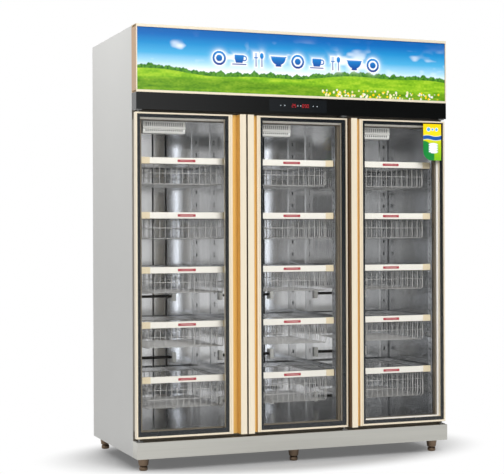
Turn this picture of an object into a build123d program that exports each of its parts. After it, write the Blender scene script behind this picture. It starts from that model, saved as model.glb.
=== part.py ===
from build123d import *
import os

# Dish sterilizer cabinet: three glass doors in a row, five pull-out baskets behind each.
# Millimetres. X runs to the right, Y from front to back and Z up.
# The origin lies on the floor, under the middle of the whole cabinet.

# ---- driving dimensions: outside ------------------------------------------------------
cabinet_width = 1530
body_depth = 704  # grey body, screw heads on its back included
front_box_depth = 72  # header, fascia and plinth stand this far in front of the body
handle_reach = 16  # door handles stand this far in front of the header

# heights of what is stacked up the front, from the floor
foot_height = 60
plinth_height = 73
gap_under_door = 14
door_height = 1430
gap_over_door = 11
fascia_height = 75
header_height = 297

# ---- sheet, tube and fit --------------------------------------------------------------
shell_sheet = 1.2
liner_sheet = 1.0
flange = 20
wall_thickness = 22  # outside of the shell to inside of the chamber
weld_seam = 0.1  # between mats and bars that are welded edge to edge
slide_clearance = 0.4
pin_clearance = 0.05
over_cut = 1  # how far a cutter runs past the face that it starts from

# ---- chamber --------------------------------------------------------------------------
floor_over_plinth = 36  # chamber floor over the top of the plinth
ceiling_under_fascia = 45  # chamber ceiling under the bottom of the fascia
chamber_depth = 508
bay_pitch = 510
seam_width = 8
seam_places = (-210, -8, 58)  # from the middle of each bay

# ---- front frame and doors ------------------------------------------------------------
door_recess = 14  # door face behind the header's
door_gap = 7
door_inset = 1  # outer doors from the cabinet's sides
door_depth = 30
frame_thickness = 20.7
frame_wall = 1.5
opening_width = 436
frame_sill = 44  # bottom rail of the front frame
frame_head = 43
frame_inset = 2
gasket_depth = 7
gasket_width = 13
gasket_inset = 16
stile_width = 21
bottom_rail_width = 26
lip_width = 7
glass_thickness = 5
glass_recess = 3
pin_from_edge = 15
pin_from_face = 14
pin_radius = 4
pin_length = 12
pin_end_gap = 2
handle_width = 30
handle_wall = 3
handle_chamfer = 2
groove_width = 25
groove_depth = 14
groove_strip_width = 18
bracket_thickness = 3
bracket_width = 28
bracket_nose = 6  # plate in front of the pin

# ---- baskets --------------------------------------------------------------------------
rows = 5
hole_pitch = 30.5
holes_per_row = 8
bottom_rail_top = 408
rail_length = 420
rail_height = 28
rail_depth = 14
rail_front_setback = 8  # basket rail behind the front plane of the grey body
cap_length = 38
cap_margin = 1
label_length = 84
label_height = 11
label_thickness = 1
basket_depth = 450
wire_pitch = 26
wire = 3
rim_height = 5
shallow_basket = 92  # below the rail
deep_basket = 118  # below the rail, in the bottom row
bottom_mat = 4
cross_wires = 4
runner_height = 25
runner_drop = 1  # top of the runner under the top of the rail
runner_setback = 0.5  # outside of the runner from the end of the rail
runner_sheet = 1.2
runner_flange = 11
runner_ledge = 7
rear_bar_height = 22
rear_bar_depth = 12
glide_length = 40
glide_reach = 8
basket_end_clearance = 2
mat_gap = 1  # wire mats from the rail, the rear bar and the runners

# ---- posts and guides -----------------------------------------------------------------
post_face_from_bay = 224.5  # inner faces of the front posts from the middle of the bay
post_depth = 40
post_behind_rail = 10
post_wall = 1.5
post_hole = 8
rear_post_width = 36
rear_post_from_bay = 208
rear_post_depth = 10
rear_slot_width = 12
rear_slot_height = 16
rear_pair_width = 6
rear_pair_height = 7
rear_pair_spacing = 13
guide_sheet = 1.2
guide_clearance = 0.5

# ---- chamber fittings -----------------------------------------------------------------
ozone_length = 197
ozone_height = 52
ozone_depth = 60
ozone_shell = 2
ozone_from_bay = -101.5
ozone_slots = 18
ozone_slot_width = 5
ozone_slot_height = 15
ozone_row_height = 0.25  # of the box, from its bottom and from its top
ozone_lamp = 16
ozone_lamp_setback = 22
ozone_lamp_drop = 18
ozone_lamp_inset = 6
ozone_lamp_foot = 10
heater_heights = (223, 449, 744)
heater_length = 270
heater_from_bay = -44
heater_radius = 6
holder_width = 20
holder_height = 48
holder_depth = 25
light_radius = 7
light_length = 1250
light_socket = 20
light_socket_wall = 1

# ---- duct fans ------------------------------------------------------------------------
fan_size = 130
fan_depth = 38
fan_bore = 124
fan_tip_clearance = 4
fan_blades = 5
fan_blade_tilt = 32
fan_blade_thickness = 2
fan_blade_chord = 18
fan_blade_root = 3  # how far a blade runs into the hub
fan_hub_radius = 24
fan_hub_height = 14
fan_shaft_radius = 2.5
fan_shaft_length = 12
fan_shaft_end_gap = 2
fan_hub_gap = 1
fan_stator_radius = 20
fan_stator_height = 14
fan_strut = 6
fan_strut_inset = 1
baffle_height = 1400
baffle_hole_radius = 58
fan_from_bay = -100

# ---- header, fascia and electrics -----------------------------------------------------
header_top_bar = 12
header_bottom_bar = 10
header_side_bar = 5
header_bar_wall = 2
picture_thickness = 3
picture_recess = 4
header_light_radius = 13
header_light_length = 1400
header_light_drop = 62
header_socket_wall = 2
display_width = 284
display_height = 56
display_thickness = 1
display_corner = 6
fascia_sheet = 3
board_width = 260
board_height = 46
board_thickness = 1.6
board_setback = 6
board_spacer = 8
board_spacer_inset = 15
digit_block_size = (70, 4, 20)
power_board_size = (240, 160)
power_block_size = (70, 60, 45)
standoff = 8
power_foot = 10
power_foot_inset = 12

# ---- feet, base and back --------------------------------------------------------------
base_tube_width = 50
base_tube_height = 40
base_tube_wall = 2
foot_from_side = 47
foot_from_front = 70
foot_from_back = 46
sleeve_top_radius = 27
sleeve_bottom_radius = 21
sleeve_bottom = 22
foot_pad_radius = 19
foot_pad_height = 20
foot_pad_round = 6
foot_stem_radius = 12
foot_stem_top = 52
stem_end_gap = 2
screw_radius = 4.5
screw_head = 1.6
screws_per_side = 6
gland_radius = 15
gland_flange = 1.6
gland_nut_radius = 12
gland_nut_height = 6
gland_neck_radius = 7
gland_bore_radius = 5
gland_reach = 14
gland_place = (640, 240)
vent_slots = 14
vent_slot_size = (9, 60)
vent_pitch = 18
vent_drop = 150  # middle of the slots under the top

# ---- worked out from the above --------------------------------------------------------
half_width = cabinet_width / 2
back_y = (body_depth + front_box_depth + handle_reach) / 2
body_front_y = back_y - body_depth
header_front_y = body_front_y - front_box_depth
cover_back_y = back_y - screw_head
flange_back_y = cover_back_y - shell_sheet

plinth_top = foot_height + plinth_height
door_bottom = plinth_top + gap_under_door
door_top = door_bottom + door_height
fascia_bottom = door_top + gap_over_door
header_bottom = fascia_bottom + fascia_height
cabinet_height = header_bottom + header_height

chamber_floor = plinth_top + floor_over_plinth
chamber_ceiling = fascia_bottom - ceiling_under_fascia
chamber_half = half_width - wall_thickness
chamber_back_y = body_front_y + chamber_depth
bays = [-bay_pitch, 0, bay_pitch]
sides = ["left", "middle", "right"]

door_width = (cabinet_width - 2 * door_inset - 2 * door_gap) / 3
door_front_y = header_front_y + door_recess
door_back_y = door_front_y + door_depth
gasket_back_y = door_back_y + gasket_depth
frame_front_y = body_front_y - frame_thickness
pin_y = door_front_y + pin_from_face

row_pitch = holes_per_row * hole_pitch
rail_tops = [bottom_rail_top + row_pitch * (rows - 1 - row) for row in range(rows)]
rail_front_y = body_front_y + rail_front_setback
rail_back_y = rail_front_y + rail_depth
basket_back_y = rail_back_y + basket_depth
post_front_y = rail_front_y + post_behind_rail
post_middle_y = post_front_y + post_depth / 2
runner_face = rail_length / 2 - runner_setback
guide_middle_drop = runner_drop + runner_height / 2  # from a rail's top to the middle of its guide

foot_front_y = header_front_y + foot_from_front
foot_back_y = back_y - foot_from_back
foot_xs = (foot_from_side - half_width, 0, half_width - foot_from_side)
foot_places = [(x, y) for y in (foot_front_y, foot_back_y) for x in foot_xs]
foot_names = [f"{depth}_{side}" for depth in ("front", "rear") for side in sides]

os.makedirs("parts", exist_ok=True)


def write(part, label):
    """Label a finished sub-part and write its STEP file."""
    part.label = label
    export_step(part, f"parts/{label}.step", write_pcurves=False)


def block(x, y, z, mode=Mode.ADD):
    """Add a box between two corners, each axis given as a pair in any order."""
    with Locations((sum(x) / 2, sum(y) / 2, sum(z) / 2)):
        Box(abs(x[1] - x[0]), abs(y[1] - y[0]), abs(z[1] - z[0]), mode=mode)


def tube(x, y, z, wall, along):
    """Add a rectangular tube that is open at both ends of the axis it runs along."""
    block(x, y, z)
    inner = [(min(pair) + wall, max(pair) - wall) for pair in (x, y, z)]
    axis = "XYZ".index(along)
    inner[axis] = (x, y, z)[axis]
    block(*inner, mode=Mode.SUBTRACT)


def rod(start, direction, radius, length, mode=Mode.ADD):
    """Add a round bar from a point along a direction."""
    with BuildSketch(Plane(start, z_dir=direction)) as section:
        Circle(radius)
    extrude(section.sketch, amount=length, mode=mode)


# ---- shell ----------------------------------------------------------------------------
shell_z = (foot_height, cabinet_height)
for side, sign in (("left", -1), ("right", 1)):
    outer = sign * half_width
    inner = sign * (half_width - flange)
    with BuildPart() as side_panel:
        block((outer, outer - sign * shell_sheet), (body_front_y, flange_back_y), shell_z)
        block((outer, inner), (body_front_y, body_front_y + shell_sheet), shell_z)
        block((outer, inner), (flange_back_y - shell_sheet, flange_back_y), shell_z)
    write(side_panel.part, f"side_panel_{side}")

shell_half = half_width - shell_sheet
with BuildPart() as top_cover:
    cover_y = (body_front_y + shell_sheet, flange_back_y - shell_sheet)
    under = cabinet_height - shell_sheet
    block((-shell_half, shell_half), cover_y, (under, cabinet_height))
    for lip_y in (cover_y[0], cover_y[1] - shell_sheet):
        lip_x = (flange - half_width, half_width - flange)
        block(lip_x, (lip_y, lip_y + shell_sheet), (under - flange, under))
write(top_cover.part, "top_cover")

with BuildPart() as back_cover:
    block((-half_width, half_width), (flange_back_y, cover_back_y), shell_z)
    for x in (-bay_pitch, bay_pitch):
        vent_middle = (x, cover_back_y, cabinet_height - vent_drop)
        with BuildSketch(Plane(vent_middle, x_dir=(1, 0, 0), z_dir=(0, 1, 0))):
            with GridLocations(vent_pitch, 0, vent_slots, 1):
                Rectangle(*vent_slot_size)
        extrude(amount=-shell_sheet, mode=Mode.SUBTRACT)
    gland = (gland_place[0], cover_back_y, gland_place[1])
    rod(gland, (0, -1, 0), gland_neck_radius, shell_sheet, Mode.SUBTRACT)
write(back_cover.part, "back_cover")

screw_columns = (-half_width + flange / 2, half_width - flange / 2)
screw_step = (cabinet_height - foot_height - 2 * flange) / (screws_per_side - 1)
with BuildPart() as cover_screws:
    for x in screw_columns:
        for number in range(screws_per_side):
            z = foot_height + flange + number * screw_step
            rod((x, cover_back_y, z), (0, 1, 0), screw_radius, screw_head)
write(cover_screws.part, "cover_screws")

with BuildPart() as cable_gland:
    rod(gland, (0, 1, 0), gland_radius, gland_flange)
    rod(gland, (0, -1, 0), gland_neck_radius, gland_reach)
    rod((gland[0], flange_back_y, gland[2]), (0, -1, 0), gland_nut_radius, gland_nut_height)
    bore_start = (gland[0], cover_back_y + gland_flange, gland[2])
    rod(bore_start, (0, -1, 0), gland_bore_radius, gland_flange + gland_reach, Mode.SUBTRACT)
write(cable_gland.part, "cable_gland")

# ---- base -----------------------------------------------------------------------------
tube_z = (foot_height, foot_height + base_tube_height)
tube_half = base_tube_width / 2
base_half = half_width - flange
with BuildPart() as base_frame:
    for y in (foot_front_y, foot_back_y):
        tube((-base_half, base_half), (y - tube_half, y + tube_half), tube_z, base_tube_wall, "X")
    cross_y = (foot_front_y + tube_half + weld_seam, foot_back_y - tube_half - weld_seam)
    for x in (-base_half + tube_half, 0, base_half - tube_half):
        tube((x - tube_half, x + tube_half), cross_y, tube_z, base_tube_wall, "Y")
write(base_frame.part, "base_frame")

with BuildPart() as plinth:
    plinth_z = (foot_height, plinth_top)
    block((-half_width, half_width), (header_front_y, header_front_y + shell_sheet), plinth_z)
    block((-half_width, half_width), (header_front_y, body_front_y), (plinth_top - shell_sheet, plinth_top))
    for sign in (-1, 1):
        edge = sign * half_width
        block((edge, edge - sign * shell_sheet), (header_front_y, body_front_y), plinth_z)
write(plinth.part, "plinth")

# ---- chamber --------------------------------------------------------------------------
lined_y = (body_front_y, chamber_back_y)
with BuildPart() as chamber_liner:
    block((-chamber_half, chamber_half), lined_y, (chamber_floor - liner_sheet, chamber_floor))
    block((-chamber_half, chamber_half), lined_y, (chamber_ceiling, chamber_ceiling + liner_sheet))
    for sign in (-1, 1):
        wall_x = (sign * chamber_half, sign * (chamber_half + liner_sheet))
        block(wall_x, lined_y, (chamber_floor + weld_seam, chamber_ceiling - weld_seam))
write(chamber_liner.part, "chamber_liner")

duct_y = (chamber_back_y + liner_sheet, flange_back_y)
with BuildPart() as chamber_back:
    for bay in bays:
        low = bay - bay_pitch / 2 + weld_seam
        high = bay + bay_pitch / 2 - weld_seam
        edges = [max(low, -chamber_half)]
        for place in seam_places:
            edges += [bay + place - seam_width / 2, bay + place + seam_width / 2]
        edges.append(min(high, chamber_half))
        for start, stop in zip(edges[::2], edges[1::2]):
            block((start, stop), (chamber_back_y, duct_y[0]), (chamber_floor, chamber_ceiling))
    baffle_y = (duct_y[0] + weld_seam, duct_y[1])
    block((-chamber_half, chamber_half), baffle_y, (baffle_height, baffle_height + liner_sheet))
    with Locations([(bay + fan_from_bay, sum(duct_y) / 2, baffle_height) for bay in bays]):
        Cylinder(baffle_hole_radius, 4 * liner_sheet, mode=Mode.SUBTRACT)
write(chamber_back.part, "chamber_back")

frame_y = (frame_front_y, body_front_y)
sill_top = plinth_top + frame_sill
head_bottom = fascia_bottom - frame_head
frame_half = half_width - frame_inset
half_opening = opening_width / 2
with BuildPart() as front_frame:
    tube((-frame_half, frame_half), frame_y, (plinth_top, sill_top), frame_wall, "X")
    tube((-frame_half, frame_half), frame_y, (head_bottom, fascia_bottom), frame_wall, "X")
    upright_z = (sill_top + weld_seam, head_bottom - weld_seam)
    tube((-frame_half, bays[0] - half_opening), frame_y, upright_z, frame_wall, "Z")
    tube((bays[2] + half_opening, frame_half), frame_y, upright_z, frame_wall, "Z")
    for near, far in zip(bays, bays[1:]):
        tube((near + half_opening, far - half_opening), frame_y, upright_z, frame_wall, "Z")
write(front_frame.part, "front_frame")

# ---- posts and guides -----------------------------------------------------------------
guide_zs = [top - guide_middle_drop for top in rail_tops]
hole_zs = []
next_hole = guide_zs[-1] - 7 * hole_pitch
while next_hole < chamber_ceiling - hole_pitch / 2:
    if next_hole > chamber_floor + hole_pitch / 2:
        hole_zs.append(next_hole)
    next_hole += hole_pitch
slot_zs = [z for z in hole_zs if round((z - guide_zs[-1]) / hole_pitch) % 2 == 0]
post_z = (chamber_floor, chamber_ceiling)


def punch(x, y, zs, direction, depth):
    """Cut square peg holes, one over another, through a post's walls."""
    with BuildSketch(Plane((x, y, 0), x_dir=(0, 1, 0), z_dir=direction)) as holes:
        with Locations([(0, z * direction[0]) for z in zs]):
            Rectangle(post_hole, post_hole)
    extrude(holes.sketch, amount=depth, clean=False, mode=Mode.SUBTRACT)


with BuildPart() as basket_posts:
    post_y = (post_front_y, post_front_y + post_depth)
    for near, far in zip(bays, bays[1:]):
        left = near + post_face_from_bay
        right = far - post_face_from_bay
        tube((left, right), post_y, post_z, post_wall, "Z")
        punch(left - over_cut, post_middle_y, hole_zs, (1, 0, 0), right - left + 2 * over_cut)
    for sign in (-1, 1):
        face = sign * (bay_pitch + post_face_from_bay)
        wall = sign * chamber_half
        block((face, face + sign * post_wall), post_y, post_z)
        for y in (post_y[0], post_y[1] - post_wall):
            block((face, wall), (y, y + post_wall), post_z)
        punch(face - sign * over_cut, post_middle_y, hole_zs, (sign, 0, 0), post_wall + 2 * over_cut)
    rear_face_y = chamber_back_y - rear_post_depth
    for bay in bays:
        for sign in (-1, 1):
            middle = bay + sign * rear_post_from_bay
            half = rear_post_width / 2
            block((middle - half, middle + half), (rear_face_y, rear_face_y + post_wall), post_z)
            for edge in (middle - half, middle + half - post_wall):
                block((edge, edge + post_wall), (rear_face_y, chamber_back_y), post_z)
            slots = [(middle, z) for z in slot_zs]
            size = (rear_slot_width, rear_slot_height)
            if sign < 0:
                offsets = (-rear_pair_spacing / 2, rear_pair_spacing / 2)
                slots = [(middle, z + offset) for z in slot_zs for offset in offsets]
                size = (rear_pair_width, rear_pair_height)
            cutter_plane = Plane((0, rear_face_y - over_cut, 0), x_dir=(1, 0, 0), z_dir=(0, -1, 0))
            with BuildSketch(cutter_plane) as slot_row:
                with Locations(slots):
                    Rectangle(*size)
            extrude(slot_row.sketch, amount=-post_wall - 2 * over_cut, clean=False, mode=Mode.SUBTRACT)
write(basket_posts.part, "basket_posts")

# Each guide is a channel that opens towards the middle of the bay, from the front post to the rear one.
# A pad at its front end carries the runner and stops the glide at the runner's rear end.
guide_half = runner_height / 2
guide_y = (rail_back_y + basket_end_clearance, rear_face_y)
guide_inner = post_face_from_bay - guide_sheet
runner_web = runner_face - runner_flange
with BuildPart() as basket_guides:
    for bay in bays:
        for sign in (-1, 1):
            web = (bay + sign * guide_inner, bay + sign * post_face_from_bay)
            lips = bay + sign * (runner_face + slide_clearance)
            pad_x = (bay + sign * (runner_web + slide_clearance), web[0])
            for z in guide_zs:
                low = z - guide_half
                high = z + guide_half
                block(web, guide_y, (low, high))
                for lip_low in (low, high - guide_sheet):
                    block((web[1], lips), guide_y, (lip_low, lip_low + guide_sheet))
                pad_z = (low + guide_sheet, high - runner_sheet - slide_clearance)
                block(pad_x, (guide_y[0], guide_y[0] + glide_length), pad_z)
write(basket_guides.part, "basket_guides")


# ---- baskets --------------------------------------------------------------------------
def wire_mat(plane, width, height, columns, levels, thickness):
    """Add a flat mat of wires: an outline, evenly spaced uprights and bars at the given levels."""
    pitch = (width - wire) / columns
    xs = [(number + 0.5 - columns / 2) * pitch for number in range(columns)]
    lows = [wire - height / 2] + [level + wire / 2 for level in levels]
    highs = [level - wire / 2 for level in levels] + [height / 2 - wire]
    with BuildSketch(plane) as mat:
        Rectangle(width, height)
        for low, high in zip(lows, highs):
            with Locations([(x, (low + high) / 2) for x in xs]):
                Rectangle(pitch - wire, high - low, mode=Mode.SUBTRACT)
    extrude(mat.sketch, amount=thickness, clean=False)


def make_basket(drop, bars):
    """One basket about x = 0, its rail's top at z = 0 and its wire part hanging by drop below the rail."""
    with BuildPart() as basket:
        half_rail = rail_length / 2
        cap_start = half_rail - cap_length
        rail_z = (-rail_height, 0)
        block((-cap_start + weld_seam, cap_start - weld_seam), (rail_front_y, rail_back_y), rail_z)
        for sign in (-1, 1):
            cap_y = (rail_front_y - cap_margin, rail_back_y)
            block((sign * cap_start, sign * half_rail), cap_y, (-rail_height - cap_margin, cap_margin))
        label_y = (rail_front_y - label_thickness - weld_seam, rail_front_y - weld_seam)
        label_z = -rail_height / 2
        label_half = label_height / 2
        block((-label_length / 2, label_length / 2), label_y, (label_z - label_half, label_z + label_half))

        web_in = runner_web - runner_sheet
        top = -runner_drop
        bottom = top - runner_height
        runner_y = (rail_back_y + weld_seam, basket_back_y)
        for sign in (-1, 1):
            block((sign * web_in, sign * runner_web), runner_y, (bottom, top))
            block((sign * web_in, sign * runner_face), runner_y, (top - runner_sheet, top))
            ledge = sign * (web_in - runner_ledge)
            block((sign * web_in, ledge), runner_y, (bottom, bottom + runner_sheet))
            glide_z = (bottom + guide_sheet + guide_clearance, top - runner_sheet - guide_clearance)
            glide_x = (sign * (runner_web + weld_seam), sign * (runner_face + glide_reach))
            block(glide_x, (basket_back_y - glide_length, basket_back_y), glide_z)
        rear_y = (basket_back_y - rear_bar_depth, basket_back_y)
        block((-web_in + weld_seam, web_in - weld_seam), rear_y, (top - rear_bar_height, top))

        rim_top = bottom + runner_sheet + rim_height
        side_out = web_in - runner_ledge - mat_gap
        mat_y = (rail_back_y + mat_gap, rear_y[0] - mat_gap)
        mat_bottom = -rail_height - drop
        mat_height = rim_top - mat_bottom - bottom_mat
        middle_z = rim_top - mat_height / 2
        columns = round(2 * side_out / wire_pitch)
        mat_length = mat_y[1] - mat_y[0]
        side_columns = round(mat_length / wire_pitch)
        levels = [mat_height * (number + 1) / (bars + 1) - mat_height / 2 for number in range(bars)]
        for sign in (-1, 1):
            rim_x = (sign * (side_out + weld_seam), sign * (web_in - weld_seam))
            block(rim_x, mat_y, (rim_top - rim_height, rim_top))
        for y in (mat_y[0], mat_y[1] - wire):
            plane = Plane((0, y, middle_z), x_dir=(1, 0, 0), z_dir=(0, -1, 0)).offset(-wire)
            wire_mat(plane, 2 * side_out, mat_height, columns, levels, wire)
        inner_length = mat_length - 2 * wire - 2 * weld_seam
        for sign in (-1, 1):
            start = sign * side_out - (wire if sign > 0 else 0)
            plane = Plane((start, sum(mat_y) / 2, middle_z), x_dir=(0, 1, 0), z_dir=(1, 0, 0))
            wire_mat(plane, inner_length, mat_height, side_columns, levels, wire)
        floor_plane = Plane((0, sum(mat_y) / 2, mat_bottom))
        cross_pitch = mat_length / (cross_wires + 1)
        cross = [(number - (cross_wires - 1) / 2) * cross_pitch for number in range(cross_wires)]
        wire_mat(floor_plane, 2 * side_out, mat_length, columns, cross, bottom_mat - weld_seam)
    return basket.part


shallow = make_basket(shallow_basket, 1)
deep = make_basket(deep_basket, 2)
for side, bay in zip(sides, bays):
    for row, rail_top in enumerate(rail_tops):
        basket = deep if row == rows - 1 else shallow
        write(basket.moved(Location((bay, 0, rail_top))), f"basket_{side}_{row + 1}")

# ---- chamber fittings -----------------------------------------------------------------
ozone_front_y = rail_front_y + basket_end_clearance
ozone_y = (ozone_front_y, ozone_front_y + ozone_depth)
ozone_z = (chamber_ceiling - ozone_height, chamber_ceiling)
with BuildPart() as ozone_generators:
    for bay in bays:
        middle = bay + ozone_from_bay
        half = ozone_length / 2
        block((middle - half, middle + half), ozone_y, ozone_z)
        inside_x = (middle - half + ozone_shell, middle + half - ozone_shell)
        inside_y = (ozone_y[0] + ozone_shell, ozone_y[1] - ozone_shell)
        block(inside_x, inside_y, (ozone_z[0] + ozone_shell, ozone_z[1]), mode=Mode.SUBTRACT)
        slot_pitch = (ozone_length - 4 * ozone_slot_width) / ozone_slots
        row_reach = ozone_height * ozone_row_height
        for row_z in (ozone_z[0] + row_reach, ozone_z[1] - row_reach):
            with BuildSketch(Plane((middle, ozone_y[0], row_z), x_dir=(1, 0, 0), z_dir=(0, -1, 0))):
                with GridLocations(slot_pitch, 0, ozone_slots, 1):
                    Rectangle(ozone_slot_width, ozone_slot_height)
            extrude(amount=-ozone_shell, mode=Mode.SUBTRACT)
        lamp_half = half - ozone_lamp_inset
        lamp_y = (ozone_y[0] + ozone_lamp_setback, ozone_y[0] + ozone_lamp_setback + ozone_lamp)
        lamp_top = ozone_z[1] - ozone_lamp_drop
        block((middle - lamp_half, middle + lamp_half), lamp_y, (lamp_top - ozone_lamp, lamp_top))
        for sign in (-1, 1):
            foot_end = middle + sign * lamp_half
            block((foot_end - sign * ozone_lamp_foot, foot_end), lamp_y, (lamp_top, ozone_z[1]))
write(ozone_generators.part, "ozone_generators")

heater_y = chamber_back_y - holder_depth / 2
with BuildPart() as heater_tubes:
    for bay in bays:
        for z in heater_heights:
            middle = bay + heater_from_bay
            for sign in (-1, 1):
                x = middle + sign * heater_length / 2
                inner = x - sign * holder_width / 2
                holder_z = (z - holder_height / 2, z + holder_height / 2)
                holder_y = (chamber_back_y - holder_depth, chamber_back_y)
                block((inner, inner + sign * holder_width), holder_y, holder_z)
            tube_length = heater_length - holder_width - 2 * weld_seam
            rod((middle - tube_length / 2, heater_y, z), (1, 0, 0), heater_radius, tube_length)
write(heater_tubes.part, "heater_tubes")

socket_reach = light_radius + light_socket_wall
strip_y = post_front_y + post_depth + socket_reach
strip_low = (chamber_floor + chamber_ceiling - light_length) / 2
with BuildPart() as lighting_tubes:
    for x in (-bay_pitch / 2, bay_pitch / 2):
        rod((x, strip_y, strip_low), (0, 0, 1), light_radius, light_length)
        socket_x = (x - socket_reach, x + socket_reach)
        for low in (strip_low - light_socket - weld_seam, strip_low + light_length + weld_seam):
            block(socket_x, (strip_y - socket_reach, strip_y + socket_reach), (low, low + light_socket))
    header_lamp_y = (header_front_y + body_front_y) / 2
    reach = header_light_radius + header_socket_wall
    for drop in (header_light_drop, header_height - header_light_drop):
        z = cabinet_height - drop
        lamp_start = (-header_light_length / 2, header_lamp_y, z)
        rod(lamp_start, (1, 0, 0), header_light_radius, header_light_length)
        for sign in (-1, 1):
            inner = sign * (header_light_length / 2 + weld_seam)
            end = (inner, inner + sign * light_socket)
            block(end, (header_lamp_y - reach, header_lamp_y + reach), (z - reach, z + reach))
write(lighting_tubes.part, "lighting_tubes")

# ---- duct fans ------------------------------------------------------------------------
fan_y = sum(duct_y) / 2
fan_low = baffle_height + liner_sheet
stator_top = fan_low + fan_strut + fan_stator_height
with BuildPart() as fan_housings:
    for bay in bays:
        x = bay + fan_from_bay
        half = fan_size / 2
        block((x - half, x + half), (fan_y - half, fan_y + half), (fan_low, fan_low + fan_depth))
        with Locations((x, fan_y, fan_low + fan_depth / 2)):
            Cylinder(fan_bore / 2, 2 * fan_depth, mode=Mode.SUBTRACT)
        strut_z = (fan_low, fan_low + fan_strut)
        strut_reach = half - fan_strut_inset
        strut_half = fan_strut / 2
        block((x - strut_reach, x + strut_reach), (fan_y - strut_half, fan_y + strut_half), strut_z)
        block((x - strut_half, x + strut_half), (fan_y - strut_reach, fan_y + strut_reach), strut_z)
        rod((x, fan_y, fan_low), (0, 0, 1), fan_stator_radius, fan_strut + fan_stator_height)
        bore_depth = over_cut + fan_shaft_length + fan_shaft_end_gap
        bore_radius = fan_shaft_radius + pin_clearance
        rod((x, fan_y, stator_top + over_cut), (0, 0, -1), bore_radius, bore_depth, Mode.SUBTRACT)
write(fan_housings.part, "fan_housings")

blade_length = fan_bore / 2 - fan_tip_clearance - fan_hub_radius + fan_blade_root
hub_low = stator_top + fan_hub_gap
for side, bay in zip(sides, bays):
    x = bay + fan_from_bay
    with BuildPart() as fan_rotor:
        rod((x, fan_y, hub_low), (0, 0, 1), fan_hub_radius, fan_hub_height)
        rod((x, fan_y, hub_low), (0, 0, -1), fan_shaft_radius, fan_shaft_length + fan_hub_gap)
        for number in range(fan_blades):
            outward = Vector(1, 0, 0).rotate(Axis.Z, number * 360 / fan_blades)
            hub_middle = (x, fan_y, hub_low + fan_hub_height / 2)
            hub_plane = Plane(hub_middle, x_dir=(0, 0, 1), z_dir=outward)
            with BuildSketch(hub_plane.offset(fan_hub_radius - fan_blade_root)):
                Rectangle(fan_blade_chord, fan_blade_thickness, rotation=fan_blade_tilt)
            extrude(amount=blade_length)
    write(fan_rotor.part, f"fan_rotor_{side}")

# ---- header, fascia and electrics -----------------------------------------------------
header_y = (header_front_y, body_front_y)
with BuildPart() as header_frame:
    top_low = cabinet_height - header_top_bar
    tube((-half_width, half_width), header_y, (top_low, cabinet_height), header_bar_wall, "X")
    bottom_high = header_bottom + header_bottom_bar
    tube((-half_width, half_width), header_y, (header_bottom, bottom_high), header_bar_wall, "X")
    side_z = (bottom_high + weld_seam, top_low - weld_seam)
    for sign in (-1, 1):
        edge = sign * half_width
        block((edge, edge - sign * header_side_bar), header_y, side_z)
    inside = half_width - header_side_bar - weld_seam
    block((-inside, inside), (body_front_y - header_bar_wall, body_front_y), side_z)
write(header_frame.part, "header_frame")

with BuildPart() as header_picture:
    picture_y = (header_front_y + picture_recess, header_front_y + picture_recess + picture_thickness)
    block((-inside, inside), picture_y, side_z)
write(header_picture.part, "header_picture")

fascia_front_y = header_front_y + display_thickness
with BuildPart() as fascia:
    fascia_z = (fascia_bottom, header_bottom)
    block((-half_width, half_width), (fascia_front_y, fascia_front_y + fascia_sheet), fascia_z)
    for low in (fascia_bottom, header_bottom - shell_sheet):
        block((-half_width, half_width), (fascia_front_y, body_front_y), (low, low + shell_sheet))
    for sign in (-1, 1):
        edge = sign * half_width
        block((edge, edge - sign * shell_sheet), (fascia_front_y, body_front_y), fascia_z)
write(fascia.part, "fascia")

display_z = (fascia_bottom + header_bottom) / 2
with BuildPart() as display_lens:
    with BuildSketch(Plane((0, fascia_front_y, display_z), x_dir=(1, 0, 0), z_dir=(0, -1, 0))):
        RectangleRounded(display_width, display_height, display_corner)
    extrude(amount=display_thickness)
write(display_lens.part, "display_lens")

board_y = fascia_front_y + fascia_sheet + board_setback
power_z = chamber_ceiling + liner_sheet + standoff
with BuildPart() as control_boards:
    board_z = (display_z - board_height / 2, display_z + board_height / 2)
    block((-board_width / 2, board_width / 2), (board_y, board_y + board_thickness), board_z)
    spacer_half = board_spacer / 2
    for sign in (-1, 1):
        x = sign * (board_width / 2 - board_spacer_inset)
        spacer_z = (display_z - spacer_half, display_z + spacer_half)
        block((x - spacer_half, x + spacer_half), (fascia_front_y + fascia_sheet, board_y), spacer_z)
    digits = digit_block_size
    digits_z = (display_z - digits[2] / 2, display_z + digits[2] / 2)
    block((-digits[0] / 2, digits[0] / 2), (board_y - digits[1], board_y), digits_z)

    power_half = [size / 2 for size in power_board_size]
    above = power_z + board_thickness
    block((-power_half[0], power_half[0]), (-power_half[1], power_half[1]), (power_z, above))
    foot_reach = [size - power_foot_inset for size in power_half]
    with Locations((0, 0, power_z - standoff / 2)):
        with GridLocations(2 * foot_reach[0], 2 * foot_reach[1], 2, 2):
            Box(power_foot, power_foot, standoff)
    size = power_block_size
    block((-size[0] / 2, size[0] / 2), (-size[1] / 2, size[1] / 2), (above, above + size[2]))
write(control_boards.part, "control_boards")


# ---- doors ----------------------------------------------------------------------------
def door_x(side, distance):
    """X at a distance from a door's hinged edge, which is the left one on the left door only."""
    number = sides.index(side)
    left_edge = -half_width + door_inset + number * (door_width + door_gap)
    return left_edge + distance if side == "left" else left_edge + door_width - distance


def door_span(side, start, stop):
    """A pair of X values between two distances from the hinged edge."""
    return door_x(side, start), door_x(side, stop)


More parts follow.
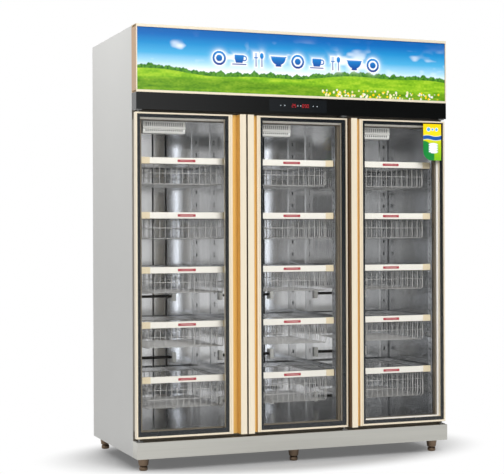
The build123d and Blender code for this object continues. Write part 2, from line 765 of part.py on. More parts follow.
door_z = (door_bottom, door_top)
body_y = (door_front_y + glass_recess + glass_thickness, door_back_y)
strip_end = door_width - handle_width - groove_width
strip_start = strip_end - groove_strip_width
for side in sides:
    with BuildPart() as door_frame:
        glass_room = (door_front_y, body_y[0])
        block(door_span(side, 0, stile_width), (door_front_y, door_back_y), door_z)
        glass_x = door_span(side, lip_width, stile_width)
        glass_z = (door_bottom + lip_width, door_top - lip_width)
        block(glass_x, glass_room, glass_z, mode=Mode.SUBTRACT)
        rail_x = door_span(side, stile_width + weld_seam, strip_start - weld_seam)
        for low, high, lip_low in (
            (door_bottom, door_bottom + bottom_rail_width, door_bottom),
            (door_top - stile_width, door_top, door_top - lip_width),
        ):
            block(rail_x, body_y, (low, high))
            block(rail_x, glass_room, (lip_low, lip_low + lip_width))
        block(door_span(side, strip_start, strip_end - weld_seam), (door_front_y, door_back_y), door_z)
        groove_y = (door_front_y + groove_depth, door_back_y)
        block(door_span(side, strip_end, strip_end + groove_width), groove_y, door_z)
        bore_depth = over_cut + pin_length + pin_end_gap
        for end, direction in ((door_bottom, 1), (door_top, -1)):
            bore_start = (door_x(side, pin_from_edge), pin_y, end - direction * over_cut)
            rod(bore_start, (0, 0, direction), pin_radius + pin_clearance, bore_depth, Mode.SUBTRACT)
    write(door_frame.part, f"door_frame_{side}")

    with BuildPart() as door_glass:
        pane_x = door_span(side, lip_width + weld_seam, strip_start - weld_seam)
        pane_z = (door_bottom + lip_width + weld_seam, door_top - lip_width - weld_seam)
        block(pane_x, (door_front_y + glass_recess, body_y[0] - weld_seam), pane_z)
    write(door_glass.part, f"door_glass_{side}")

    with BuildPart() as door_handle:
        handle_y = (door_front_y - handle_reach - door_recess, door_back_y)
        grip_x = door_span(side, strip_end + groove_width + weld_seam, door_width)
        grip_size = (abs(grip_x[1] - grip_x[0]), handle_y[1] - handle_y[0])
        with BuildSketch(Plane.XY.offset(door_bottom)):
            with Locations((sum(grip_x) / 2, sum(handle_y) / 2)):
                Rectangle(*grip_size)
                Rectangle(*[size - 2 * handle_wall for size in grip_size], mode=Mode.SUBTRACT)
        extrude(amount=door_height)
        front_edges = door_handle.edges().filter_by(Axis.Z).group_by(Axis.Y)[0]
        chamfer(front_edges, handle_chamfer)
    write(door_handle.part, f"door_handle_{side}")

    with BuildPart() as door_gasket:
        seal_y = (door_back_y, gasket_back_y)
        near = gasket_inset
        far = door_width - gasket_inset
        low = door_bottom + gasket_inset
        high = door_top - gasket_inset
        for start in (near, far - gasket_width):
            block(door_span(side, start, start + gasket_width), seal_y, (low, high))
        across = door_span(side, near + gasket_width + weld_seam, far - gasket_width - weld_seam)
        for start in (low, high - gasket_width):
            block(across, seal_y, (start, start + gasket_width))
    write(door_gasket.part, f"door_gasket_{side}")

with BuildPart() as hinge_brackets:
    for side in sides:
        x = door_x(side, pin_from_edge)
        half = bracket_width / 2
        low = max(x - half, -half_width)
        high = min(x + half, half_width)
        plate_y = (pin_y - pin_radius - bracket_nose, frame_front_y)
        under = fascia_bottom - bracket_thickness
        block((low, high), plate_y, (under, fascia_bottom))
        block((low, high), plate_y, (plinth_top, plinth_top + bracket_thickness))
        rod((x, pin_y, under), (0, 0, -1), pin_radius, under - door_top + pin_length)
        bracket_top = plinth_top + bracket_thickness
        rod((x, pin_y, bracket_top), (0, 0, 1), pin_radius, door_bottom - bracket_top + pin_length)
write(hinge_brackets.part, "hinge_brackets")

# ---- feet -----------------------------------------------------------------------------
with BuildPart() as foot_sleeves:
    for x, y in foot_places:
        with BuildSketch(Plane.XY.offset(sleeve_bottom)):
            with Locations((x, y)):
                Circle(sleeve_bottom_radius)
        with BuildSketch(Plane.XY.offset(foot_height)):
            with Locations((x, y)):
                Circle(sleeve_top_radius)
        loft()
        bore_depth = over_cut + foot_stem_top - sleeve_bottom + stem_end_gap
        bore_start = (x, y, sleeve_bottom - over_cut)
        rod(bore_start, (0, 0, 1), foot_stem_radius + slide_clearance, bore_depth, Mode.SUBTRACT)
write(foot_sleeves.part, "foot_sleeves")

for label, (x, y) in zip(foot_names, foot_places):
    with BuildPart() as foot:
        rod((x, y, 0), (0, 0, 1), foot_pad_radius, foot_pad_height)
        fillet(foot.edges().filter_by(GeomType.CIRCLE), foot_pad_round)
        rod((x, y, foot_pad_height), (0, 0, 1), foot_stem_radius, foot_stem_top - foot_pad_height)
    write(foot.part, f"foot_{label}")
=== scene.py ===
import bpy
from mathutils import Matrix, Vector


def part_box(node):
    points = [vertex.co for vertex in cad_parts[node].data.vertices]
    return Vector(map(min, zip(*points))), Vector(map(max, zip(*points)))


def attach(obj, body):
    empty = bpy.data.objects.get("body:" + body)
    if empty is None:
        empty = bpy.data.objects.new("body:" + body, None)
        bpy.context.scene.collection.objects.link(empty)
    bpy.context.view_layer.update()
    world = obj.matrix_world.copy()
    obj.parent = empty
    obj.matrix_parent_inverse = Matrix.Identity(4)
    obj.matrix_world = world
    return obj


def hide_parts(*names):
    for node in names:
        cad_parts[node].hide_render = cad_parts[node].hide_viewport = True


bl_info = {
    "name": "Dish Sterilizer Cabinet",
    "version": (1, 0, 0),
    "blender": (4, 5, 0),
    "location": "3D View > Sidebar > Cabinet",
    "description": "Dresses the frame of a three-door dish sterilizer cabinet",
    "category": "Object",
}

import math

import bmesh
import bpy
import numpy as np
from bpy.props import FloatProperty, FloatVectorProperty, IntProperty, PointerProperty

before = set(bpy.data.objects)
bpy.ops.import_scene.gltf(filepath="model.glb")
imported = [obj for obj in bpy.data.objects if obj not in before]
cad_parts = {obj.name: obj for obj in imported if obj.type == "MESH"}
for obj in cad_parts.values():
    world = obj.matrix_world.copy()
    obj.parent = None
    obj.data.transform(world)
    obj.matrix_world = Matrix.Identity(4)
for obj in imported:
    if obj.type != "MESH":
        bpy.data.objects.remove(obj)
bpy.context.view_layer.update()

MM = 0.001
SIDES = ("left", "middle", "right")
ROWS = (1, 2, 3, 4, 5)
HINGE_SIGN = {"left": 1, "middle": -1, "right": -1}  # from a door's hinged edge towards its handle, along X
# widths of the enamel border on each glass, in mm, and of each seal as a share of its full width:
# at the left, at the right, at the bottom and at the top
# The middle door's enamel runs 20 mm wide at its right, over a seal cut to 0.3 of its width, so black stands where that
# seal lies in shade: painted shade.
ENAMEL_WIDTHS = {"left": (15, 15, 22, 15), "middle": (13, 20, 22, 15), "right": (13, 15, 18, 15)}
SEAL_WIDTHS = {"left": (0.5, 0.5, 0.5, 1), "middle": (0.5, 0.3, 0.5, 1), "right": (0.5, 1, 1, 1)}


# ---- shapes ---------------------------------------------------------------------------
def node_box(node):
    """The lowest and highest corner of a CAD node as two arrays, in metres."""
    low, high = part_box(node)
    return np.array(low), np.array(high)


def grid_faces(rows, columns, wrap_rows=False, wrap_columns=False):
    """Quads between the points of a grid numbered row by row; a wrapped side joins its last line to its first."""
    row, column = np.meshgrid(
        np.arange(rows if wrap_rows else rows - 1),
        np.arange(columns if wrap_columns else columns - 1),
        indexing="ij",
    )
    next_row = (row + 1) % rows
    next_column = (column + 1) % columns
    corners = [
        row * columns + column,
        row * columns + next_column,
        next_row * columns + next_column,
        next_row * columns + column,
    ]
    return np.stack(corners, -1).reshape(-1, 4)


def rounded_outline(width, height, radius, steps=5):
    """A rectangle about the origin whose corners are quarter circles: corner centre + radius (cos t, sin t)."""
    turn = np.linspace(0, math.pi / 2, steps)
    quarters = np.arange(4) * math.pi / 2
    angle = (quarters[:, None] + turn[None, :]).ravel()
    sign_x = np.sign(np.cos(quarters + math.pi / 4)).repeat(steps)
    sign_y = np.sign(np.sin(quarters + math.pi / 4)).repeat(steps)
    x = sign_x * (width / 2 - radius) + radius * np.cos(angle)
    y = sign_y * (height / 2 - radius) + radius * np.sin(angle)
    return np.stack([x, y], 1)


def prism(outline, axis, start, stop):
    """An outline carried along an axis from start to stop; its two columns are the other two axes in order."""
    count = len(outline)
    others = [number for number in range(3) if number != axis]
    points = np.zeros((2, count, 3))
    points[:, :, others] = outline
    points[:, :, axis] = np.array([start, stop])[:, None]
    caps = np.stack([np.arange(count)[::-1], np.arange(count) + count])
    return points.reshape(-1, 3), [grid_faces(2, count, wrap_columns=True), caps]


def boxes(centres, sizes):
    """Many boxes at once: each corner is the centre plus or minus half the size along each axis."""
    centres = np.atleast_2d(centres)
    sizes = np.broadcast_to(np.atleast_2d(sizes), centres.shape)
    signs = np.array([(x, y, z) for x in (-1, 1) for y in (-1, 1) for z in (-1, 1)])
    points = (centres[:, None, :] + signs[None] * sizes[:, None, :] / 2).reshape(-1, 3)
    six = np.array([(0, 1, 3, 2), (4, 6, 7, 5), (0, 4, 5, 1), (2, 3, 7, 6), (0, 2, 6, 4), (1, 5, 7, 3)])
    faces = (np.arange(len(centres))[:, None, None] * 8 + six[None]).reshape(-1, 4)
    return points, [faces]


def ring(profile, x_range, z_range, widths=(1, 1, 1, 1)):
    """A profile of (inward distance, y) carried round an upright rectangle with mitred corners.

    The inward distance is multiplied by the width of each side: left, right, bottom, top.
    """
    inward, depth = np.array(profile).T
    left, right, bottom, top = widths
    x_low, x_high = x_range[0] + inward * left, x_range[1] - inward * right
    z_low, z_high = z_range[0] + inward * bottom, z_range[1] - inward * top
    corners = [(x_low, z_low), (x_high, z_low), (x_high, z_high), (x_low, z_high)]
    points = np.stack([np.stack([x, depth, z], -1) for x, z in corners], 1)
    return points.reshape(-1, 3), [grid_faces(len(profile), 4, True, True)]


def lathe(profile, centre, sides=32, axis=2):
    """A profile of (radius, height) turned about an upright or lying axis: centre + radius (cos t, sin t)."""
    radius, height = np.array(profile).T
    angle = np.arange(sides) * 2 * math.pi / sides
    others = [number for number in range(3) if number != axis]
    points = np.zeros((len(radius), sides, 3))
    points[:, :, others[0]] = radius[:, None] * np.cos(angle)
    points[:, :, others[1]] = radius[:, None] * np.sin(angle)
    points[:, :, axis] = height[:, None]
    points += np.array(centre)
    count = len(radius) * sides
    caps = np.stack([np.arange(sides)[::-1], np.arange(count - sides, count)])
    return points.reshape(-1, 3), [grid_faces(len(radius), sides, wrap_columns=True), caps]


def bent_path(corners, radius, steps=5, closed=False):
    """Straight runs through right-angled corners, each rounded to a quarter circle.

    With a and b the unit vectors from a corner to its neighbours, the arc is
    corner + radius (a + b) - radius (b cos t + a sin t).
    """
    corners = np.array(corners, float)
    inner = np.arange(len(corners)) if closed else np.arange(1, len(corners) - 1)
    corner = corners[inner]
    back = corners[inner - 1] - corner
    ahead = corners[(inner + 1) % len(corners)] - corner
    back /= np.linalg.norm(back, axis=1, keepdims=True)
    ahead /= np.linalg.norm(ahead, axis=1, keepdims=True)
    turn = np.linspace(0, math.pi / 2, steps)[None, :, None]
    arcs = (corner + radius * (back + ahead))[:, None] - radius * (
        ahead[:, None] * np.cos(turn) + back[:, None] * np.sin(turn)
    )
    arcs = arcs.reshape(-1, 3)
    return arcs if closed else np.concatenate([corners[:1], arcs, corners[-1:]])


def wires(paths, normal, radius, sides=6, closed=False):
    """Round wires along flat paths that share a plane: path + radius (cos t side + sin t normal)."""
    paths = np.array(paths)
    if closed:
        tangent = np.roll(paths, -1, axis=1) - np.roll(paths, 1, axis=1)
    else:
        tangent = np.gradient(paths, axis=1)
    tangent /= np.linalg.norm(tangent, axis=2, keepdims=True)
    normal = np.array(normal, float)
    side = np.cross(tangent, normal)
    angle = (np.arange(sides) * 2 * math.pi / sides)[None, None, :, None]
    points = paths[:, :, None] + radius * (np.cos(angle) * side[:, :, None] + np.sin(angle) * normal)
    count = paths.shape[1]
    first = np.arange(len(paths))[:, None, None] * count * sides
    faces = [(first + grid_faces(count, sides, closed, True)[None]).reshape(-1, 4)]
    if not closed:
        caps = np.stack([np.arange(sides)[::-1], np.arange((count - 1) * sides, count * sides)])
        faces.append((first + caps[None]).reshape(-1, sides))
    return points.reshape(-1, 3), faces


def piece(name, body, parts, replaced=(), bevel=0.0, smooth=False):
    """One object from parts of (shape, material); it rides on a body and stands for the nodes that it replaces."""
    materials = list(dict.fromkeys(material for shape, material in parts))
    points, faces, indices = [], [], []
    start = 0
    for (shape_points, shape_faces), material in parts:
        points.append(shape_points)
        for group in shape_faces:
            faces += (group + start).tolist()
            indices += [materials.index(material)] * len(group)
        start += len(shape_points)
    mesh = bpy.data.meshes.new(name)
    mesh.from_pydata(np.concatenate(points).tolist(), [], faces)
    for material in materials:
        mesh.materials.append(material)
    mesh.polygons.foreach_set("material_index", np.array(indices, np.int32))
    edit = bmesh.new()
    edit.from_mesh(mesh)
    bmesh.ops.recalc_face_normals(edit, faces=edit.faces)
    edit.to_mesh(mesh)
    edit.free()
    obj = bpy.data.objects.new(name, mesh)
    bpy.context.scene.collection.objects.link(obj)
    if bevel:
        soft = obj.modifiers.new("soft edges", "BEVEL")
        soft.width = bevel
        soft.segments = 2
        soft.limit_method = "ANGLE"
        soft.angle_limit = math.radians(40)
        soft.harden_normals = False
    if smooth:
        mesh.shade_smooth()
    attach(obj, body)
    if replaced:
        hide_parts(*replaced)
    return obj


def moved(shape, offset):
    """The same shape somewhere else."""
    points, faces = shape
    return points + np.array(offset), faces


# ---- materials ------------------------------------------------------------------------
def linear(hex_colour):
    """An sRGB hex colour as linear red, green, blue and alpha."""
    value = np.array([int(hex_colour[i:i + 2], 16) / 255 for i in (1, 3, 5)])
    value = np.where(value <= 0.04045, value / 12.92, ((value + 0.055) / 1.055) ** 2.4)
    return (*value.tolist(), 1.0)


def add_node(tree, kind, settings=(), links=()):
    """Add a node, set its properties or input values by name, and link its inputs from other nodes' outputs."""
    made = tree.nodes.new(kind)
    for name, value in dict(settings).items():
        if isinstance(name, str) and hasattr(made, name):
            setattr(made, name, value)
        else:
            made.inputs[name].default_value = value
    for name, source in dict(links).items():
        tree.links.new(source, made.inputs[name])
    return made


def surface(name, colour, **settings):
    """A new material with one principled shader; settings are its input values by name."""
    material = bpy.data.materials.new(name)
    material.use_nodes = True
    material.diffuse_color = linear(colour)
    tree = material.node_tree
    tree.nodes.clear()
    shader = add_node(tree, "ShaderNodeBsdfPrincipled", {"Base Color": linear(colour), **settings})
    add_node(tree, "ShaderNodeOutputMaterial", links={"Surface": shader.outputs[0]})
    return material, tree, shader


def grain(tree, size_mm, stretch=(1, 1, 1), detail=2.0):
    """Noise whose spots are about size_mm across, drawn out along an axis where its stretch is above 1."""
    place = add_node(tree, "ShaderNodeTexCoord").outputs["Object"]
    scale = tuple(1 / factor for factor in stretch)
    place = add_node(tree, "ShaderNodeMapping", {"Scale": scale}, {"Vector": place}).outputs[0]
    settings = {"Scale": 1 / (size_mm * MM), "Detail": detail}
    return add_node(tree, "ShaderNodeTexNoise", settings, {"Vector": place}).outputs["Fac"]


def vary(tree, shader, socket, noise, low, high):
    """Let a value or a colour of the shader follow noise between low and high."""
    if isinstance(low, str):
        ramp = add_node(tree, "ShaderNodeMix", {"data_type": "RGBA"}, {"Factor": noise})
        ramp.inputs[6].default_value = linear(low)
        ramp.inputs[7].default_value = linear(high)
        tree.links.new(ramp.outputs[2], shader.inputs[socket])
        return
    ramp = add_node(tree, "ShaderNodeMapRange", {"To Min": low, "To Max": high}, {"Value": noise})
    tree.links.new(ramp.outputs[0], shader.inputs[socket])


def relief(tree, shader, noise, height_mm, strength=0.5):
    """Raise the surface by noise, up to height_mm."""
    settings = {"Strength": strength, "Distance": height_mm * MM}
    bump = add_node(tree, "ShaderNodeBump", settings, {"Height": noise})
    tree.links.new(bump.outputs[0], shader.inputs["Normal"])


def powder_coat(name, colour, shade):
    """Powder-coated steel: satin, with a fine orange peel of about 1.5 mm, and faint broad unevenness."""
    material, tree, shader = surface(name, colour, Roughness=0.38, **{"Specular IOR Level": 0.5})
    vary(tree, shader, "Base Color", grain(tree, 420), shade, colour)
    relief(tree, shader, grain(tree, 1.5), 0.05, 0.25)
    return material


def brushed_stainless(name, colour, shade, along, roughness=(0.24, 0.4), brush_mm=1.6):
    """Stainless sheet: brush lines drawn out along one axis, a little coarser than real so that they show."""
    material, tree, shader = surface(name, colour, Metallic=1.0)
    stretch = [1.0, 1.0, 1.0]
    stretch[along] = 120.0
    lines = grain(tree, brush_mm, stretch, 3.0)
    vary(tree, shader, "Base Color", grain(tree, 12, [1 if axis != along else 40 for axis in range(3)]), shade, colour)
    vary(tree, shader, "Roughness", lines, *roughness)
    relief(tree, shader, lines, 0.02, 0.2)
    return material


def anodised_aluminium(name, colour, shade, roughness=0.3):
    """Anodised extrusion: satin metal with faint die lines along its length, which runs upright."""
    material, tree, shader = surface(name, colour, Metallic=0.3, Roughness=roughness)
    lines = grain(tree, 0.9, (1, 1, 400), 2.0)
    vary(tree, shader, "Base Color", lines, shade, colour)
    relief(tree, shader, lines, 0.01, 0.15)
    return material


def bright_wire():
    """Chrome-plated wire: bright metal, a little uneven where the plating is thin."""
    material, tree, shader = surface("chrome_plated_wire", "#DADAD8", Metallic=0.7)
    vary(tree, shader, "Roughness", grain(tree, 9), 0.12, 0.28)
    vary(tree, shader, "Base Color", grain(tree, 30), "#CFCECB", "#F4F4F2")
    return material


def moulded_plastic(name, colour, roughness=0.4, texture_mm=1.2):
    """Moulded plastic: fine spark-eroded texture from its mould."""
    material, tree, shader = surface(name, colour, Roughness=roughness)
    relief(tree, shader, grain(tree, texture_mm), 0.04, 0.3)
    return material


def black_gloss():
    """Back-painted black acrylic: deep gloss with very faint waviness."""
    material, tree, shader = surface("black_acrylic", "#090A0A", Roughness=0.12, **{"Specular IOR Level": 0.45})
    relief(tree, shader, grain(tree, 160), 0.08, 0.1)
    return material


def clear_glass():
    """Toughened glass: nearly all the light goes through, a little darker than without it."""
    material, tree, shader = surface("toughened_glass", "#101416", Roughness=0.02, Alpha=0.04)
    shader.inputs["IOR"].default_value = 1.52
    material.surface_render_method = "BLENDED"
    return material


def ceramic_frit():
    """Black enamel fired on the back of the glass: seen through gloss, slightly blue."""
    material, tree, shader = surface("black_enamel", "#15191D", Roughness=0.16)
    vary(tree, shader, "Base Color", grain(tree, 300), "#12161A", "#23282D")
    return material


def printed(name, glow):
    """Print on acrylic or vinyl: the colour attribute of the piece, under gloss, lit a little from behind."""
    material, tree, shader = surface(name, "#6FB7E0", Roughness=0.22)
    ink = add_node(tree, "ShaderNodeAttribute", {"attribute_name": "print"}).outputs["Color"]
    tree.links.new(ink, shader.inputs["Base Color"])
    if glow:
        tree.links.new(ink, shader.inputs["Emission Color"])
        shader.inputs["Emission Strength"].default_value = glow
    return material


def lit(name, colour, strength):
    """A lamp or a lit segment."""
    material, tree, shader = surface(name, colour, Roughness=0.4)
    shader.inputs["Emission Color"].default_value = linear(colour)
    shader.inputs["Emission Strength"].default_value = strength
    return material


def steel_sheet(name, colour, shade):
    """Zinc-coated sheet: dull metal with a broad spangle."""
    material, tree, shader = surface(name, colour, Metallic=0.9, Roughness=0.45)
    vary(tree, shader, "Base Color", grain(tree, 18), shade, colour)
    return material


FINISHES = {}


def make_finishes(tones):
    """Every material of the cabinet by the name of what it is."""
    FINISHES.update(
        shell=powder_coat("powder_coat_light_grey", "#D9D9D6", "#D2D2CF"),
        plinth=brushed_stainless("hairline_stainless", "#D0CFC8", "#C2C1BA", 0, (0.32, 0.46)),
        # The liner is a darker grey than the same steel of the back panels: painted shade and dark reflection on the
        # chamber's walls.
        liner=brushed_stainless("stainless_liner", "#BEBFC0", "#AAABAC", 2, (0.16, 0.3)),
        back=brushed_stainless("stainless_back", "#E6E7E8", "#CDCECF", 2, (0.1, 0.2)),
        posts=brushed_stainless("stainless_post", "#DCDDDE", "#C6C7C8", 2, (0.16, 0.28)),
        guides=brushed_stainless("stainless_guide", "#D0D1D2", "#BCBDBE", 1, (0.16, 0.28)),
        # The front frame shows only in narrow gaps; its taupe is partly its own colour and partly painted shade of
        # those gaps.
        front=powder_coat("taupe_steel_with_gap_shade", "#857C6D", "#746C5F"),
        zinc=steel_sheet("zinc_coated_steel", "#A9AAAA", "#8F9090"),
        tube=powder_coat("black_primed_steel", "#3E3F40", "#353637"),
        cream=anodised_aluminium("anodised_cream_aluminium", tones["cream"], "#F1E2C6"),
        gold=anodised_aluminium("anodised_gold_aluminium", tones["gold"], "#E2B05E", 0.24),
        # A darker tan for the sideways faces of the header frame: painted shade on those sides.
        tan=anodised_aluminium("painted_side_shade_aluminium", "#C7A27C", "#B8926C", 0.36),
        # Dark brown for the handle flanks that face the gap between doors: painted shade of that gap.
        umber=anodised_aluminium("anodised_umber_aluminium", "#8A6C4E", "#765B40", 0.42),
        glass=clear_glass(),
        frit=ceramic_frit(),
        black=black_gloss(),
        tinted=moulded_plastic("tinted_acrylic", "#15181B", 0.1, 60),
        gasket=moulded_plastic("white_pvc", "#FBFBF9", 0.5),
        white=moulded_plastic("white_abs", "#F6F6F2", 0.4),
        ceramic=moulded_plastic("glazed_ceramic", "#E9E8E2", 0.2, 8),
        heater=steel_sheet("oxidised_heater_tube", "#4A4744", "#2E2C2B"),
        rail=moulded_plastic("ivory_lacquered_aluminium", tones["rail"], 0.34, 2),
        cap=moulded_plastic("cream_abs", tones["cap"], 0.42),
        peg=moulded_plastic("brown_nylon", "#8A6644", 0.5),
        red=moulded_plastic("red_vinyl", "#B4404A", 0.3, 3),
        wire=bright_wire(),
        bronze=steel_sheet("bronzed_steel", "#8A7764", "#6E5D4D"),
        print=printed("printed_acrylic", 0.05),
        sticker=printed("printed_vinyl", 0),
        lamp=lit("lamp_tube", "#F4F8FF", 3.2),
        digit=lit("red_led", "#C01C24", 0.25),
        mark=lit("white_silk_screen", "#B9C2C8", 0.1),
        dark=moulded_plastic("black_nylon", "#1D1E1F", 0.5),
        board=moulded_plastic("solder_mask", "#1F5B3A", 0.35, 6),
        screw=steel_sheet("zinc_plated_screw", "#C4C4C2", "#A8A8A6"),
    )


def paint_node(node, *finishes, choose=None):
    """Give a CAD node one finish, or several that its faces' normals choose from."""
    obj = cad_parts[node]
    mesh = obj.data
    mesh.materials.clear()
    for finish in finishes:
        mesh.materials.append(FINISHES[finish])
    indices = np.zeros(len(mesh.polygons), np.int32)
    if choose:
        normals = np.zeros(len(mesh.polygons) * 3)
        mesh.polygons.foreach_get("normal", normals)
        indices = choose(normals.reshape(-1, 3)).astype(np.int32)
    mesh.polygons.foreach_set("material_index", indices)


# ---- printed pictures -----------------------------------------------------------------
def blend_colours(levels, colours, value):
    """Hex colours interpolated over value at the given levels, as linear colours."""
    table = np.array([linear(colour)[:3] for colour in colours])
    return np.stack([np.interp(value, levels, table[:, channel]) for channel in range(3)], -1)


def lay(picture, mask, colour):
    """Lay a colour over a picture where the mask is 1; the mask is clipped to 0 and 1."""
    mask = np.clip(mask, 0, 1)[..., None]
    colour = np.array(linear(colour)[:3]) if isinstance(colour, str) else colour
    return picture * (1 - mask) + colour * mask


def soft_edge(distance, softness=1.2):
    """1 inside and 0 outside of a signed distance in mm, over a softness in mm."""
    return np.clip(0.5 - distance / softness, 0, 1)


def smooth_noise(x, y, pitch, seed):
    """Value noise: random numbers on a grid of the given pitch, joined by smooth steps."""
    table = np.random.default_rng(seed).random((64, 64))
    column, row = x / pitch, y / pitch
    left, low = np.floor(column).astype(int), np.floor(row).astype(int)
    across, up = column - left, row - low
    across, up = across * across * (3 - 2 * across), up * up * (3 - 2 * up)
    corner = lambda i, j: table[(low + j) % 64, (left + i) % 64]
    bottom = corner(0, 0) * (1 - across) + corner(1, 0) * across
    top = corner(0, 1) * (1 - across) + corner(1, 1) * across
    return bottom * (1 - up) + top * up


def plate_shape(x, z):
    """Signed distance to a plate seen from above: a rim and a middle with a gap between them."""
    radius = np.hypot(x, z)
    return np.minimum(np.abs(radius - 27) - 5, radius - 15)


def bowl_shape(x, z):
    """Signed distance to a bowl from the side: the lower part of a disc on a foot, under a rim."""
    body = np.maximum(np.hypot(x, z - 16) - 36, z - 14)
    rim = np.maximum(np.abs(x) - 39, np.abs(z - 17) - 2.5)
    foot = np.maximum(np.abs(x) - 14, np.abs(z + 22) - 4)
    return np.minimum(np.minimum(body, rim), foot)


def cup_shape(x, z):
    """Signed distance to a cup from the side: a rounded body with a ring for its handle, on a saucer."""
    body = np.maximum(np.abs(x) - 22 + np.clip(-z, 0, 20) * 0.35, np.abs(z) - 18)
    ear = np.abs(np.hypot(x - 25, z - 3) - 10) - 3
    saucer = np.maximum(np.abs(x) - 34, np.abs(z + 24) - 2.5)
    return np.minimum(np.minimum(body, ear), saucer)


def cutlery_shape(x, z):
    """Signed distance to a fork and a spoon side by side."""
    spoon = np.minimum((np.hypot((x - 14) / 0.68, z - 18) - 14) * 0.68, np.maximum(np.abs(x - 14) - 2.6, np.abs(z + 8) - 24))
    tines = np.maximum(np.abs(np.abs(x + 14) % 6.5 - 3.25) - 1.5, np.abs(z - 20) - 11)
    tines = np.maximum(tines, np.abs(x + 14) - 9.6)
    fork = np.minimum(tines, np.maximum(np.abs(x + 14) - 9.6, np.abs(z - 9) - 3))
    fork = np.minimum(fork, np.maximum(np.abs(x + 14) - 2.6, np.abs(z + 12) - 20))
    return np.minimum(spoon, fork)


def header_print(x, z, width, height):
    """A generic landscape under a row of tableware, in mm from the lower left corner.

    Sky by height, clouds from smooth noise, two rolling fields whose edges are sums of sines,
    round trees on the skyline, flowers as small discs, and tableware as signed distances.
    """
    up = z / height
    sky = ("#EFF8FC", "#F3FAFD", "#A6D6EE", "#4BABDB", "#1F8AC8", "#0B66B2", "#0A5CA6")
    picture = blend_colours((0.0, 0.34, 0.46, 0.6, 0.76, 0.9, 1.0), sky, up)
    cloud = 0.6 * smooth_noise(x, z * 2.2, 90, 1) + 0.4 * smooth_noise(x, z * 2.2, 34, 2)
    cloud = (cloud - 0.58) * 5 * np.exp(-(((up - 0.62) / 0.16) ** 2))
    picture = lay(picture, cloud * 0.75, "#FFFFFF")

    skyline = 84 + 13 * np.sin(x / 210 + 2.2) + 5 * np.sin(x / 71)
    trees = 9 + 13 * smooth_noise(x, 0 * x, 26, 3) ** 2 + 6 * np.abs(np.sin(x / 13)) + 3 * np.abs(np.sin(x / 5.1 + 1))
    leaf = smooth_noise(x, z, 7, 4)
    leaves = blend_colours((0, 1), ("#1E5E1C", "#5E9A2C"), leaf)
    picture = lay(picture, soft_edge(z - skyline - trees, 3), leaves)

    grass = smooth_noise(x, z * 5, 46, 5) * 0.6 + smooth_noise(x, z * 2, 9, 6) * 0.4
    far = blend_colours((0, 0.5, 1), ("#5F9C14", "#8CBE22", "#B4D436"), grass)
    picture = lay(picture, soft_edge(z - skyline, 2), far)
    near_edge = 52 + 15 * np.sin(x / 290 + 0.3) + 3 * np.sin(x / 60)
    near = blend_colours((0, 0.5, 1), ("#4E8C0E", "#79B11C", "#A2CB30"), grass)
    shade = np.clip(1 - (near_edge - z) / 60, 0.72, 1)[..., None]
    picture = lay(picture, soft_edge(z - near_edge, 3), near * shade)

    scatter = np.random.default_rng(7)
    for number in range(120):
        centre_x = width * (0.58 + 0.4 * scatter.random())
        centre_z = 4 + 30 * scatter.random() ** 1.4
        size = 2.2 + 3.4 * scatter.random()
        petal = ("#FFFFFF", "#FFD91F", "#FFF6C8")[number % 3]
        gap = np.hypot(x - centre_x, z - centre_z)
        picture = lay(picture, soft_edge(gap - size, 1.6), petal)
        picture = lay(picture, soft_edge(gap - size * 0.35, 1.2), "#D98A10")

    shapes = (plate_shape, cup_shape, cutlery_shape, bowl_shape)
    count = 9
    nearest = np.full(x.shape, 1e9)
    for number in range(count):
        middle = width * (0.25 + 0.5 * number / (count - 1))
        nearest = np.minimum(nearest, shapes[number % 4](x - middle, z - height * 0.56))
    picture = lay(picture, np.exp(-np.clip(nearest, 0, None) / 7) * 0.95, "#FFFFFF")
    picture = lay(picture, soft_edge(nearest - 3), "#FFFFFF")
    ink = blend_colours((0.44, 0.68), ("#14267E", "#1C8AD6"), up)
    return lay(picture, soft_edge(nearest), ink)


def sticker_print(x, z, width, height):
    """A generic label in mm from its lower left corner: yellow over green, a blue band and a stack of plates."""
    up = z / height
    picture = blend_colours((0, 0.4, 0.75, 1), ("#7CC11E", "#B9D81C", "#FFE21A", "#FFD800"), up)
    leaf = np.hypot(x - width * 0.02, (z - height * 0.12) * 0.8) - width * 0.6
    picture = lay(picture, soft_edge(leaf, 3), "#1B8A3C")
    band = np.abs(z - height * 0.62 - 3 * np.sin(x / 14)) - 9
    picture = lay(picture, soft_edge(band - 1.6), "#FFFFFF")
    picture = lay(picture, soft_edge(band), "#2158A8")
    for number in range(4):
        plate = np.hypot(x - width * 0.56, (z - height * (0.24 + 0.065 * number)) * 3.2) - 26
        picture = lay(picture, soft_edge(plate), "#A9C4D2")
        picture = lay(picture, soft_edge(plate + 2.4), "#FAFCFD")
    for number, size in enumerate((11, 7, 9)):
        bubble = np.hypot(x - width * (0.3 + 0.22 * number), z - height * 0.85) - size
        picture = lay(picture, soft_edge(bubble), "#FFFFFF")
        picture = lay(picture, soft_edge(bubble + 2), "#5BB5E8")
    return picture


def printed_panel(name, low, high, pitch_mm, draw):
    """A flat grid facing the front between two corners, its colour attribute drawn by a function of x and z."""
    width, height = (high[0] - low[0]) / MM, (high[2] - low[2]) / MM
    columns = int(width / pitch_mm) + 1
    rows = int(height / pitch_mm) + 1
    x, z = np.meshgrid(np.linspace(0, width, columns), np.linspace(0, height, rows))
    points = np.stack([low[0] + x * MM, np.full(x.shape, low[1]), low[2] + z * MM], -1).reshape(-1, 3)
    mesh = bpy.data.meshes.new(name)
    mesh.from_pydata(points.tolist(), [], grid_faces(rows, columns).tolist())
    colours = np.ones((rows * columns, 4), np.float32)
    colours[:, :3] = draw(x, z, width, height).reshape(-1, 3)
    ink = mesh.attributes.new("print", "FLOAT_COLOR", "POINT")
    ink.data.foreach_set("color", colours.ravel())
    obj = bpy.data.objects.new(name, mesh)
    bpy.context.scene.collection.objects.link(obj)
    return obj, x, z


